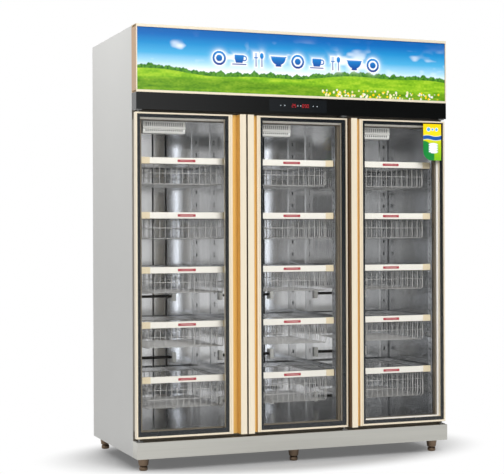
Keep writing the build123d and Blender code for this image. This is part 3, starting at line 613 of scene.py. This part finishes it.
# ---- sizes and colours a user would change --------------------------------------------
class CabinetLook(bpy.types.PropertyGroup):
    cream: FloatVectorProperty(
        name="Cream", description="Anodised door and header edges", subtype="COLOR_GAMMA", size=3,
        min=0, max=1, default=(0.98, 0.94, 0.86))
    gold: FloatVectorProperty(
        name="Gold", description="Finger groove behind each handle", subtype="COLOR_GAMMA", size=3,
        min=0, max=1, default=(0.95, 0.8, 0.48))
    rail: FloatVectorProperty(
        name="Rail", description="Front rails of the baskets", subtype="COLOR_GAMMA", size=3,
        min=0, max=1, default=(1.0, 0.99, 0.95))
    cap: FloatVectorProperty(
        name="Cap", description="End caps of the rails", subtype="COLOR_GAMMA", size=3,
        min=0, max=1, default=(0.95, 0.89, 0.76))
    wire_pitch: FloatProperty(
        name="Wire pitch", description="Spacing of the basket wires", subtype="DISTANCE", default=26 * MM, min=0.01)
    wire_radius: FloatProperty(
        name="Wire radius", description="Radius of the basket wires", subtype="DISTANCE", default=1.3 * MM, min=0.0005)


class CabinetView(bpy.types.PropertyGroup):
    place: FloatVectorProperty(
        name="Camera place", description="Where the camera stands", subtype="TRANSLATION", size=3,
        default=(-2.339, -5.879, 1.015))
    turn: FloatVectorProperty(
        name="Camera turn", description="Tilt from straight down, roll and yaw", subtype="EULER", size=3,
        default=(math.radians(90), math.radians(0.21), math.radians(-21)))
    lens: FloatProperty(name="Lens", description="Focal length for a 36 mm frame, in mm", default=93.6, min=10)
    shift: FloatProperty(name="Shift", description="Vertical lens shift as a share of the width", default=0.006)
    samples: IntProperty(name="Round steps", description="Sides of turned pieces", default=40, min=12)


def hex_of(colour):
    """A gamma colour as a hex string."""
    return "#" + "".join(f"{round(channel * 255):02X}" for channel in colour)


# ---- operators ------------------------------------------------------------------------
class CABINET_OT_finishes(bpy.types.Operator):
    """Make the materials and give them to the CAD nodes that stay"""

    bl_idname = "cabinet.finishes"
    bl_label = "Finishes"

    def execute(self, context):
        look = context.scene.cabinet_look
        make_finishes({name: hex_of(getattr(look, name)) for name in ("cream", "gold", "rail", "cap")})
        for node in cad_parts:
            paint_node(node, "zinc")
        plain = {
            "shell": ("side_panel_left", "side_panel_right", "top_cover", "back_cover"),
            "tube": ("base_frame",),
            "plinth": ("plinth",),
            "liner": ("chamber_liner",),
            "back": ("chamber_back",),
            "posts": ("basket_posts",),
            "guides": ("basket_guides",),
            "front": ("front_frame",),
            "black": ("fascia",),
            "tinted": ("display_lens",),
            "board": ("control_boards",),
            "zinc": ("hinge_brackets",),
            "screw": ("cover_screws",),
            "dark": ("cable_gland", "fan_housings", *[f"fan_rotor_{side}" for side in SIDES]),
            "lamp": ("lighting_tubes",),
        }
        for finish, nodes in plain.items():
            for node in nodes:
                paint_node(node, finish)
        # Faces of the header frame that point sideways get the darker tan, painted shade on those sides; its front
        # stays cream.
        paint_node("header_frame", "cream", "tan", choose=lambda normals: np.abs(normals[:, 0]) > 0.7)
        return {"FINISHED"}


class CABINET_OT_header(bpy.types.Operator):
    """Print the panel of the header"""

    bl_idname = "cabinet.header"
    bl_label = "Header"

    def execute(self, context):
        low, high = node_box("header_picture")
        obj, x, z = printed_panel("header_panel", low, high, 2.5, header_print)
        obj.data.materials.append(FINISHES["print"])
        thick = obj.modifiers.new("thickness", "SOLIDIFY")
        thick.thickness = high[1] - low[1]
        thick.offset = -1
        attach(obj, "cabinet")
        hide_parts("header_picture")
        return {"FINISHED"}


class CABINET_OT_display(bpy.types.Operator):
    """Lit digits and printed marks on the display"""

    bl_idname = "cabinet.display"
    bl_label = "Display"

    def execute(self, context):
        low, high = node_box("display_lens")
        middle = (low + high) / 2
        front = low[1] - 0.15 * MM
        height, width, bar = 14 * MM, 7.4 * MM, 1.6 * MM
        bars = {
            "a": (0, 1, 1), "g": (0, 0, 1), "d": (0, -1, 1),
            "f": (-1, 0.5, 0), "b": (1, 0.5, 0), "e": (-1, -0.5, 0), "c": (1, -0.5, 0),
        }
        numerals = {"2": "abged", "5": "afgcd", "0": "abcdef", "9": "abcdfg"}
        centres, sizes = [], []
        for text, start in (("25", -27 * MM), ("090", 24 * MM)):
            for number, numeral in enumerate(text):
                for name in numerals[numeral]:
                    across, up, flat = bars[name]
                    x = middle[0] + start + number * 12 * MM + across * width / 2
                    centres.append((x, front, middle[2] + up * height / 2))
                    sizes.append((width - bar, 0.3 * MM, bar) if flat else (bar, 0.3 * MM, height / 2 - bar / 2))
        lit_bars = boxes(centres, sizes)
        piece("display_digits", "cabinet", [(lit_bars, FINISHES["digit"])])
        places = np.array([-86, -66, -2, 12, 74, 94]) * MM
        marks = []
        for number, place in enumerate(places):
            outline = rounded_outline(4.6 * MM, 4.6 * MM, (2.2, 1)[number % 2] * MM, 4)
            shape = prism(outline + (middle[0] + place, middle[2]), 1, front - 0.1 * MM, front + 0.15 * MM)
            marks.append((shape, FINISHES["mark"]))
        line = [(middle[0], front, middle[2] + sign * 14 * MM) for sign in (-1, 1)]
        marks.append((boxes(line, (230 * MM, 0.2 * MM, 0.6 * MM)), FINISHES["tinted"]))
        piece("display_marks", "cabinet", marks)
        return {"FINISHED"}


class CABINET_OT_doors(bpy.types.Operator):
    """Frames, handles, glass and gaskets of the three doors"""

    bl_idname = "cabinet.doors"
    bl_label = "Doors"

    def execute(self, context):
        for side in SIDES:
            self.door(side)
        return {"FINISHED"}

    def door(self, side):
        """One door; distances run from its hinged edge towards its handle."""
        sign = HINGE_SIGN[side]
        body = f"door_{side}"
        frame_low, frame_high = node_box(f"door_frame_{side}")
        grip_low, grip_high = node_box(f"door_handle_{side}")
        glass_low, glass_high = node_box(f"door_glass_{side}")
        seal_low, seal_high = node_box(f"door_gasket_{side}")
        hinge_x = frame_low[0] if sign > 0 else frame_high[0]
        front, back = frame_low[1], frame_high[1]
        bottom, top = frame_low[2], frame_high[2]
        lip = 7 * MM
        ring_end = 438.6 * MM
        seat = glass_high[1] + 0.1 * MM

        def across(*distances):
            return sorted(hinge_x + sign * distance for distance in distances)

        profile = [
            (0, back), (0, front + 0.8 * MM), (0.8 * MM, front), (lip - 0.8 * MM, front), (lip, front + 0.8 * MM),
            (lip, seat), (20 * MM, seat), (20 * MM, back),
        ]
        surround = ring(profile, across(0, ring_end), (bottom, top), (1, 1, 1.2, 1))
        outline = np.array([
            (ring_end, back), (ring_end, front + 2.5 * MM), (ring_end + 1.6 * MM, front + 2.5 * MM),
            (ring_end + 1.6 * MM, front + 0.6 * MM), (ring_end + 2.2 * MM, front),
            (449.1 * MM, front), (449.6 * MM, front + 0.6 * MM),
            (449.6 * MM, front + 12 * MM), (451.6 * MM, front + 14 * MM),
            (474.5 * MM, front + 14 * MM), (474.5 * MM, back),
        ])
        outline[:, 0] = hinge_x + sign * outline[:, 0]
        lock_points, lock_faces = prism(outline, 2, bottom, top)
        groove = np.isin(np.arange(len(outline)), (7, 8, 9))
        plain = [lock_faces[0][~groove], lock_faces[1]]
        parts = [
            (surround, FINISHES["cream"]),
            ((lock_points, plain), FINISHES["cream"]),
            ((lock_points, [lock_faces[0][groove]]), FINISHES["gold"]),
        ]
        piece(f"door_{side}_frame", body, parts, [f"door_frame_{side}"])

        grip = self.grip_outline(grip_low, grip_high)
        grip_points, (grip_walls, grip_ends) = prism(grip, 2, bottom, top)
        run = np.abs(np.roll(grip, -1, axis=0) - grip)
        flank = run[:, 1] > 10 * MM
        inner = flank & ((grip[:, 0] - grip[:, 0].mean()) * sign < 0)
        parts = [
            ((grip_points, [grip_walls[~flank], grip_ends]), FINISHES["cream"]),
            ((grip_points, [grip_walls[inner]]), FINISHES["gold"]),
            # The flank towards the gap between doors is dark brown: painted shade of that gap.
            ((grip_points, [grip_walls[flank & ~inner]]), FINISHES["umber"]),
        ]
        piece(f"door_{side}_handle_bar", body, parts, [f"door_handle_{side}"])

        pane_x, pane_z = (glass_low[0], glass_high[0]), (glass_low[2], glass_high[2])
        pane_middle = ((pane_x[0] + pane_x[1]) / 2, (pane_z[0] + pane_z[1]) / 2)
        pane = rounded_outline(pane_x[1] - pane_x[0], pane_z[1] - pane_z[0], 3 * MM) + pane_middle
        pane = prism(pane, 1, glass_low[1], glass_high[1] - 0.3 * MM)
        piece(f"door_{side}_pane", body, [(pane, FINISHES["glass"])], [f"door_glass_{side}"])
        border = [(0, glass_high[1] - 0.25 * MM), (0, glass_high[1]), (1, glass_high[1]), (1, glass_high[1] - 0.25 * MM)]
        widths = np.array(ENAMEL_WIDTHS[side]) * MM
        frit = ring(border, pane_x, pane_z, widths)
        piece(f"door_{side}_enamel_border", body, [(frit, FINISHES["frit"])])

        seal = [
            (0, seal_low[1]), (13 * MM, seal_low[1]), (13 * MM, seal_low[1] + 2 * MM), (10.5 * MM, seal_low[1] + 3 * MM),
            (12.4 * MM, seal_low[1] + 4.4 * MM), (12.4 * MM, seal_high[1] - 0.6 * MM), (11.6 * MM, seal_high[1]),
            (1.4 * MM, seal_high[1]), (0.6 * MM, seal_high[1] - 0.6 * MM), (0.6 * MM, seal_low[1] + 4.4 * MM),
            (2.5 * MM, seal_low[1] + 3 * MM), (0, seal_low[1] + 2 * MM),
        ]
        seal = ring(seal, (seal_low[0], seal_high[0]), (seal_low[2], seal_high[2]), SEAL_WIDTHS[side])
        piece(f"door_{side}_seal", body, [(seal, FINISHES["gasket"])], [f"door_gasket_{side}"])

    def grip_outline(self, low, high):
        """The handle bar from above: softly rounded at the front, with one broad shallow recess in its face."""
        width, depth = high[0] - low[0], high[1] - low[1]
        middle = ((low[0] + high[0]) / 2, (low[1] + high[1]) / 2)
        outline = rounded_outline(width, depth, 2.2 * MM, 5) + middle
        groove_x = np.array([-0.24, -0.2, 0.2, 0.24]) * width + middle[0]
        groove_y = low[1] + np.array([0, 0.7, 0.7, 0]) * MM
        front = outline[:, 1] < middle[1]
        left = outline[front & (outline[:, 0] < middle[0])]
        right = outline[front & (outline[:, 0] > middle[0])]
        return np.concatenate([outline[~front], left, np.stack([groove_x, groove_y], 1), right])


class CABINET_OT_baskets(bpy.types.Operator):
    """Fifteen pull-out wire baskets with their rails and runners"""

    bl_idname = "cabinet.baskets"
    bl_label = "Baskets"

    def execute(self, context):
        look = context.scene.cabinet_look
        for row in ROWS:
            low, high = node_box(f"basket_middle_{row}")
            shapes = self.shapes(low, high, look, 2 if row == ROWS[-1] else 1)
            for side in SIDES:
                node = f"basket_{side}_{row}"
                bay = sum(corner[0] for corner in node_box(node)) / 2
                for label, slot, finish, shape_list, bevel in shapes:
                    parts = [(moved(shape, (bay, 0, 0)), FINISHES[finish]) for shape in shape_list]
                    smooth = label == "wires"
                    name = f"basket_{side}_{row}_{label}"
                    piece(name, f"drawer_{side}_{row}", parts, [node], bevel, smooth)
        return {"FINISHED"}

    def shapes(self, low, high, look, bars):
        """The shapes of a basket about x = 0, from the box of its node."""
        rail_top = high[2] - 1 * MM
        rail_front = low[1] + 1.1 * MM
        rail_back = rail_front + 14 * MM
        rail_low = rail_top - 28 * MM
        half = 210 * MM
        cap = 38 * MM
        floor = low[2] + 1.5 * MM
        back = high[1]
        middle = ((rail_front + rail_back) / 2, (rail_top + rail_low) / 2)
        rail = prism(rounded_outline(14 * MM, 28 * MM, 1.6 * MM) + middle, 0, cap - half, half - cap)
        caps, pegs = [], []
        for sign in (-1, 1):
            outline = rounded_outline(15 * MM, 30 * MM, 2.6 * MM) + (middle[0] - 0.5 * MM, middle[1])
            caps.append(prism(outline, 0, *sorted((sign * (half - cap - 1 * MM), sign * half))))
            peg = [(0.01 * MM, 0), (4.4 * MM, 0), (4.4 * MM, 5 * MM), (3 * MM, 6.5 * MM), (0.01 * MM, 6.5 * MM)]
            peg = [(radius, sign * height) for radius, height in peg]
            pegs.append(lathe(peg, (sign * half, middle[0] + 2 * MM, middle[1] - 3 * MM), 12, 0))
        label = rounded_outline(84 * MM, 11 * MM, 2 * MM, 4) + (0, middle[1])
        label = prism(label, 1, rail_front - 1 * MM, rail_front)
        line = boxes((0, rail_front - 1.05 * MM, middle[1]), (60 * MM, 0.1 * MM, 1 * MM))

        web_out, web_in = 198.5 * MM, 197.3 * MM
        top, bottom = rail_top - 1 * MM, rail_top - 26 * MM
        channel = np.array([
            (web_out + 11 * MM, top), (web_out + 11 * MM, top - 1.2 * MM), (web_out, top - 1.2 * MM), (web_out, bottom),
            (web_in - 7 * MM, bottom), (web_in - 7 * MM, bottom + 1.2 * MM), (web_in, bottom + 1.2 * MM), (web_in, top),
        ])
        runners = []
        for sign in (-1, 1):
            runners.append(prism(channel * (sign, 1), 1, rail_back, back))
            runners.append(boxes((sign * 208 * MM, back - 20 * MM, top - 12.5 * MM), (18.8 * MM, 40 * MM, 20 * MM)))
        bar = rounded_outline(12 * MM, 22 * MM, 2 * MM, 4) + (back - 6 * MM, top - 11 * MM)
        runners.append(prism(bar, 0, -web_in, web_in))

        radius = look.wire_radius
        side = web_in - 8 * MM - radius
        near, far = rail_back + 1 * MM + radius, back - 13 * MM - radius
        rim = bottom + 6.2 * MM
        bend = 12 * MM
        columns = round(2 * side / look.wire_pitch)
        xs = (np.arange(columns) + 0.5) / columns * 2 * side - side
        lengthwise = bent_path([(0, near, rim), (0, near, floor), (0, far, floor), (0, far, rim)], bend)
        rows = round((far - near) / look.wire_pitch)
        ys = (np.arange(rows) + 0.5) / rows * (far - near) + near
        inner = side - 2 * radius
        over = floor + 2 * radius
        crosswise = bent_path([(-inner, 0, rim), (-inner, 0, over), (inner, 0, over), (inner, 0, rim)], bend)
        paths_x = lengthwise[None] + np.stack([xs, 0 * xs, 0 * xs], 1)[:, None]
        paths_y = crosswise[None] + np.stack([0 * ys, ys, 0 * ys], 1)[:, None]
        net = [wires(paths_x, (1, 0, 0), radius), wires(paths_y, (0, 1, 0), radius)]
        level = np.arange(bars) + 1
        levels = rim + (floor - rim) * level / (bars + 1)
        hoop = bent_path([(-side, near, 0), (side, near, 0), (side, far, 0), (-side, far, 0)], bend, closed=True)
        hoops = hoop[None] + np.stack([0 * levels, 0 * levels, levels], 1)[:, None]
        net.append(wires(hoops, (0, 0, 1), radius, closed=True))
        rim_hoop = hoop[None] + np.array([0, 0, rim])
        net.append(wires(rim_hoop, (0, 0, 1), 2 * radius, 8, closed=True))
        return [
            ("rail", "cream_bar", "rail", [rail], 0),
            ("caps", "cream_bar", "cap", caps, 0.5 * MM),
            ("pegs", "bronze_foot", "peg", pegs, 0),
            ("label", "printed_panel", "red", [label], 0),
            ("label_line", "printed_panel", "rail", [line], 0),
            ("runners", "stainless", "guides", runners, 0),
            ("wires", "wire_chrome", "wire", net, 0),
        ]


class CABINET_OT_fittings(bpy.types.Operator):
    """Ozone generators and heaters in the chamber"""

    bl_idname = "cabinet.fittings"
    bl_label = "Chamber fittings"

    def execute(self, context):
        low, high = node_box("ozone_generators")
        bays = [sum(corner[0] for corner in node_box(f"basket_{side}_1")) / 2 for side in SIDES]
        length = high[0] - low[0] - (bays[2] - bays[0])
        start = low[0] - bays[0]
        parts = []
        for bay in bays:
            x0, x1 = bay + start, bay + start + length
            parts += self.ozone_box(x0, x1, low, high)
        piece("ozone_boxes", "cabinet", parts, ["ozone_generators"], 0.6 * MM)
        self.heaters(bays)
        return {"FINISHED"}

    def ozone_box(self, x0, x1, low, high):
        """A housing in two steps; each step has a row of upright slots between ribs."""
        front, back, bottom, top = low[1], high[1], low[2], high[2]
        middle = (bottom + top) / 2
        outline = np.array([
            (back, bottom + 6 * MM), (back, top), (front + 4 * MM, top), (front + 4 * MM, middle + 3 * MM),
            (front, middle + 1 * MM), (front, middle - 4 * MM), (front + 6 * MM, middle - 7 * MM),
            (front + 6 * MM, bottom + 8 * MM), (front + 10 * MM, bottom + 1 * MM), (front + 16 * MM, bottom),
            (back - 6 * MM, bottom),
        ])
        parts = [(prism(outline, 0, x0, x1), FINISHES["white"])]
        count = 18
        xs = x0 + 10 * MM + (np.arange(count) + 0.5) / count * (x1 - x0 - 20 * MM)
        # The slots are not cut; a thin sheet fills each, zinc in the upper row and black in the lower row, where the
        # black is painted shade inside the slots.
        for y, z, tall, shade in (
            (front + 3.9 * MM, middle + 14 * MM, 17 * MM, "zinc"),
            (front + 5.9 * MM, middle - 12.5 * MM, 8 * MM, "dark"),
        ):
            centres = np.stack([xs, np.full(count, y), np.full(count, z)], 1)
            parts.append((boxes(centres, (4.4 * MM, 0.4 * MM, tall)), FINISHES[shade]))
            ribs = centres + (2.9 * MM, -0.6 * MM, 0)
            parts.append((boxes(ribs, (1.4 * MM, 1.6 * MM, tall)), FINISHES["white"]))
        return parts

    def heaters(self, bays):
        """Glazed holders with a glass-bead end and a dark tube between each pair."""
        low, high = node_box("heater_tubes")
        offset = low[0] - bays[0]
        span = high[0] - low[0] - (bays[2] - bays[0])
        depth = high[1] - low[1]
        tall = 48 * MM
        middle_height = 449 * MM
        heights = (low[2] + tall / 2, middle_height, high[2] - tall / 2)
        parts = []
        for bay in bays:
            for z in heights:
                ends = (bay + offset + 10 * MM, bay + offset + span - 10 * MM)
                for x in ends:
                    outline = rounded_outline(20 * MM, tall, 5 * MM) + (x, z)
                    parts.append((prism(outline, 1, low[1] + 3 * MM, high[1]), FINISHES["ceramic"]))
                    cap = rounded_outline(14 * MM, tall - 14 * MM, 5 * MM) + (x, z)
                    parts.append((prism(cap, 1, low[1], low[1] + 4 * MM), FINISHES["ceramic"]))
                y = low[1] + depth / 2
                run = ends[1] - ends[0] - 20 * MM
                tube = [(0.01 * MM, 0), (3 * MM, 0), (6 * MM, 2 * MM), (6 * MM, run - 2 * MM), (3 * MM, run), (0.01 * MM, run)]
                parts.append((lathe(tube, (ends[0] + 10 * MM, y, z), 16, 0), FINISHES["heater"]))
        piece("heaters", "cabinet", parts, ["heater_tubes"])


class CABINET_OT_feet(bpy.types.Operator):
    """Tapered sleeves and levelling feet"""

    bl_idname = "cabinet.feet"
    bl_label = "Feet"

    def execute(self, context):
        sides = context.scene.cabinet_view.samples
        sleeves = []
        for depth in ("front", "rear"):
            for side in SIDES:
                low, high = node_box(f"foot_{depth}_{side}")
                x, y = (low[0] + high[0]) / 2, (low[1] + high[1]) / 2
                pad = [
                    (0.01, 0), (13, 0), (16.5, 1), (18.6, 4), (19, 8), (19, 14), (17.6, 18), (14, 20), (12, 20.5),
                    (12, 52), (0.01, 52),
                ]
                pad = lathe(np.array(pad) * MM, (x, y, 0), sides)
                name = f"levelling_foot_{depth}_{side}"
                piece(name, name, [(pad, FINISHES["bronze"])], [f"foot_{depth}_{side}"], smooth=True)
                sleeve = [
                    (12.6, 22), (19.6, 22), (21, 23.4), (22.6, 34), (24.4, 46), (25.6, 54), (26.8, 55), (27, 59.8),
                    (12.6, 59.8),
                ]
                sleeve = np.array(sleeve) * MM
                points, faces = lathe(sleeve, (x, y, 0), sides)
                last = len(sleeve) - 1
                faces = [grid_faces(last + 1, sides, True, True)]
                sleeves.append(((points, faces), FINISHES["bronze"]))
        piece("foot_sleeve_set", "cabinet", sleeves, ["foot_sleeves"], 0)
        return {"FINISHED"}


class CABINET_OT_sticker(bpy.types.Operator):
    """A plain coloured label on the glass of the right door"""

    bl_idname = "cabinet.sticker"
    bl_label = "Door label"

    def execute(self, context):
        low, high = node_box("door_glass_right")
        front = low[1] - 0.25 * MM
        corner = np.array([high[0] - 106 * MM, front, high[2] - 179 * MM])
        far = np.array([high[0] - 10 * MM, front, high[2] - 6 * MM])
        obj, x, z = printed_panel("door_label", corner, far, 1.0, sticker_print)
        self.round_corner(obj, x, z)
        obj.data.materials.append(FINISHES["sticker"])
        thick = obj.modifiers.new("thickness", "SOLIDIFY")
        thick.thickness = 0.2 * MM
        thick.offset = -1
        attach(obj, "door_right")
        return {"FINISHED"}

    def round_corner(self, obj, x, z):
        """Draw the lower left corner in to a quarter circle: points past the arc move onto it."""
        radius = 45.0
        across, up = radius - x, radius - z
        reach = np.hypot(across, up)
        past = (across > 0) & (up > 0)
        square = np.maximum(across, up)
        factor = np.where(past, square / np.maximum(reach, 1e-6), 1)
        points = np.zeros(len(obj.data.vertices) * 3)
        obj.data.vertices.foreach_get("co", points)
        points = points.reshape(-1, 3)
        points[:, 0] += ((radius - across * factor) - x).ravel() * MM * past.ravel()
        points[:, 2] += ((radius - up * factor) - z).ravel() * MM * past.ravel()
        obj.data.vertices.foreach_set("co", points.ravel())


class CABINET_OT_stage(bpy.types.Operator):
    """Floor, studio light and the camera"""

    bl_idname = "cabinet.stage"
    bl_label = "Stage"

    def execute(self, context):
        self.floor()
        self.world(context.scene)
        self.lamp("key_light", (0.2, -5.6, 4.8), (0.0, -0.3, 1.1), 3.0, 340)
        self.lamp("side_light", (-2.0, 0.0, 3.0), (-0.77, 0.0, 1.7), 1.2, 21)
        self.camera(context.scene)
        context.scene.view_settings.view_transform = "Standard"
        return {"FINISHED"}

    def floor(self):
        """A wide disc whose far part is plain white, so that no horizon shows."""
        sides = 96
        angle = np.arange(sides) * 2 * math.pi / sides
        points = np.stack([40 * np.cos(angle), 40 * np.sin(angle), 0 * angle], 1)
        mesh = bpy.data.meshes.new("floor")
        mesh.from_pydata(points.tolist(), [], [list(range(sides))])
        obj = bpy.data.objects.new("floor", mesh)
        bpy.context.scene.collection.objects.link(obj)
        material, tree, shader = surface("studio_floor", "#C6C6C6", Roughness=0.7)
        place = add_node(tree, "ShaderNodeTexCoord").outputs["Object"]
        place = add_node(tree, "ShaderNodeMapping", {"Scale": (1, 1.7, 1)}, {"Vector": place}).outputs[0]
        distance = add_node(tree, "ShaderNodeVectorMath", {"operation": "LENGTH"}, {0: place}).outputs["Value"]
        settings = {"From Min": 0.78, "From Max": 1.15, "interpolation_type": "SMOOTHSTEP"}
        # To Min gives the near floor a glow of 0.12 white for camera, mirror and glass rays: painted light that
        # lightens the shadow under the cabinet.
        settings["To Min"] = 0.12
        fade = add_node(tree, "ShaderNodeMapRange", settings, {"Value": distance}).outputs[0]
        seen = self.seen(tree)
        fade = add_node(tree, "ShaderNodeMath", {"operation": "MULTIPLY"}, {0: fade, 1: seen}).outputs[0]
        white = add_node(tree, "ShaderNodeEmission", {"Color": (1, 1, 1, 1), "Strength": 1.0}).outputs[0]
        mixed = add_node(tree, "ShaderNodeMixShader", {}, {0: fade, 1: shader.outputs[0], 2: white})
        output = next(node for node in tree.nodes if node.type == "OUTPUT_MATERIAL")
        tree.links.new(mixed.outputs[0], output.inputs["Surface"])
        mesh.materials.append(material)

    def seen(self, tree):
        """1 for camera, mirror and glass rays."""
        rays = add_node(tree, "ShaderNodeLightPath").outputs
        settings = {"operation": "MAXIMUM"}
        first = add_node(tree, "ShaderNodeMath", settings, {0: rays["Is Camera Ray"], 1: rays["Is Glossy Ray"]})
        return add_node(tree, "ShaderNodeMath", settings, {0: first.outputs[0], 1: rays["Is Transmission Ray"]}).outputs[0]

    def world(self, scene):
        """White where it is seen, a plain soft light elsewhere, and a dark flag that only mirror rays meet.

        The flag stands to the right of the front: from one to the other side of its edge,
        the X part of a ray's direction goes from 0.27 to 0.4.
        """
        world = bpy.data.worlds.new("studio")
        scene.world = world
        world.use_nodes = True
        tree = world.node_tree
        tree.nodes.clear()
        towards = add_node(tree, "ShaderNodeTexCoord").outputs["Generated"]
        across = add_node(tree, "ShaderNodeSeparateXYZ", {}, {0: towards}).outputs["X"]
        settings = {"From Min": 0.27, "From Max": 0.4, "To Min": 1.0, "To Max": 0.05}
        flag = add_node(tree, "ShaderNodeMapRange", settings, {"Value": across}).outputs[0]
        glossy = add_node(tree, "ShaderNodeLightPath").outputs["Is Glossy Ray"]
        bright = add_node(tree, "ShaderNodeMix", {"A": 1.0}, {"Factor": glossy, "B": flag}).outputs[0]
        strength = add_node(tree, "ShaderNodeMapRange", {"To Min": 0.44}, {"Value": self.seen(tree), "To Max": bright})
        sky = add_node(tree, "ShaderNodeBackground", {"Color": (1, 1, 1, 1)}, {"Strength": strength.outputs[0]})
        add_node(tree, "ShaderNodeOutputWorld", links={"Surface": sky.outputs[0]})

    def lamp(self, name, place, aim, size, power):
        """A square soft light that points at a place."""
        light = bpy.data.lights.new(name, "AREA")
        light.size = size
        light.energy = power
        obj = bpy.data.objects.new(name, light)
        bpy.context.scene.collection.objects.link(obj)
        towards = np.array(aim) - np.array(place)
        yaw = math.atan2(towards[1], towards[0]) - math.pi / 2
        tilt = math.atan2(towards[2], math.hypot(towards[0], towards[1])) + math.pi / 2
        obj.location = place
        obj.rotation_euler = (tilt, 0, yaw)
        obj.visible_camera = False
        obj.visible_glossy = False

    def camera(self, scene):
        """The camera of the photograph."""
        view = scene.cabinet_view
        data = bpy.data.cameras.new("camera")
        data.lens = view.lens
        data.shift_y = view.shift
        obj = bpy.data.objects.new("camera", data)
        scene.collection.objects.link(obj)
        obj.location = view.place
        obj.rotation_euler = view.turn
        scene.camera = obj


OPERATORS = (
    CABINET_OT_stage,
    CABINET_OT_finishes,
    CABINET_OT_header,
    CABINET_OT_display,
    CABINET_OT_doors,
    CABINET_OT_baskets,
    CABINET_OT_fittings,
    CABINET_OT_feet,
    CABINET_OT_sticker,
)


class CABINET_PT_panel(bpy.types.Panel):
    """Lists the pieces of the cabinet"""

    bl_idname = "CABINET_PT_panel"
    bl_label = "Dish sterilizer cabinet"
    bl_space_type = "VIEW_3D"
    bl_region_type = "UI"
    bl_category = "Cabinet"

    def draw(self, context):
        look = context.scene.cabinet_look
        for name in ("cream", "gold", "rail", "cap", "wire_pitch", "wire_radius"):
            self.layout.prop(look, name)
        for operator in OPERATORS:
            self.layout.operator(operator.bl_idname)


CLASSES = (CabinetLook, CabinetView, *OPERATORS, CABINET_PT_panel)


def register():
    for cls in CLASSES:
        bpy.utils.register_class(cls)
    bpy.types.Scene.cabinet_look = PointerProperty(type=CabinetLook)
    bpy.types.Scene.cabinet_view = PointerProperty(type=CabinetView)


def unregister():
    del bpy.types.Scene.cabinet_view
    del bpy.types.Scene.cabinet_look
    for cls in reversed(CLASSES):
        bpy.utils.unregister_class(cls)


def main():
    register()
    for operator in OPERATORS:
        group, name = operator.bl_idname.split(".")
        getattr(getattr(bpy.ops, group), name)()


if __name__ == "__main__":
    main()
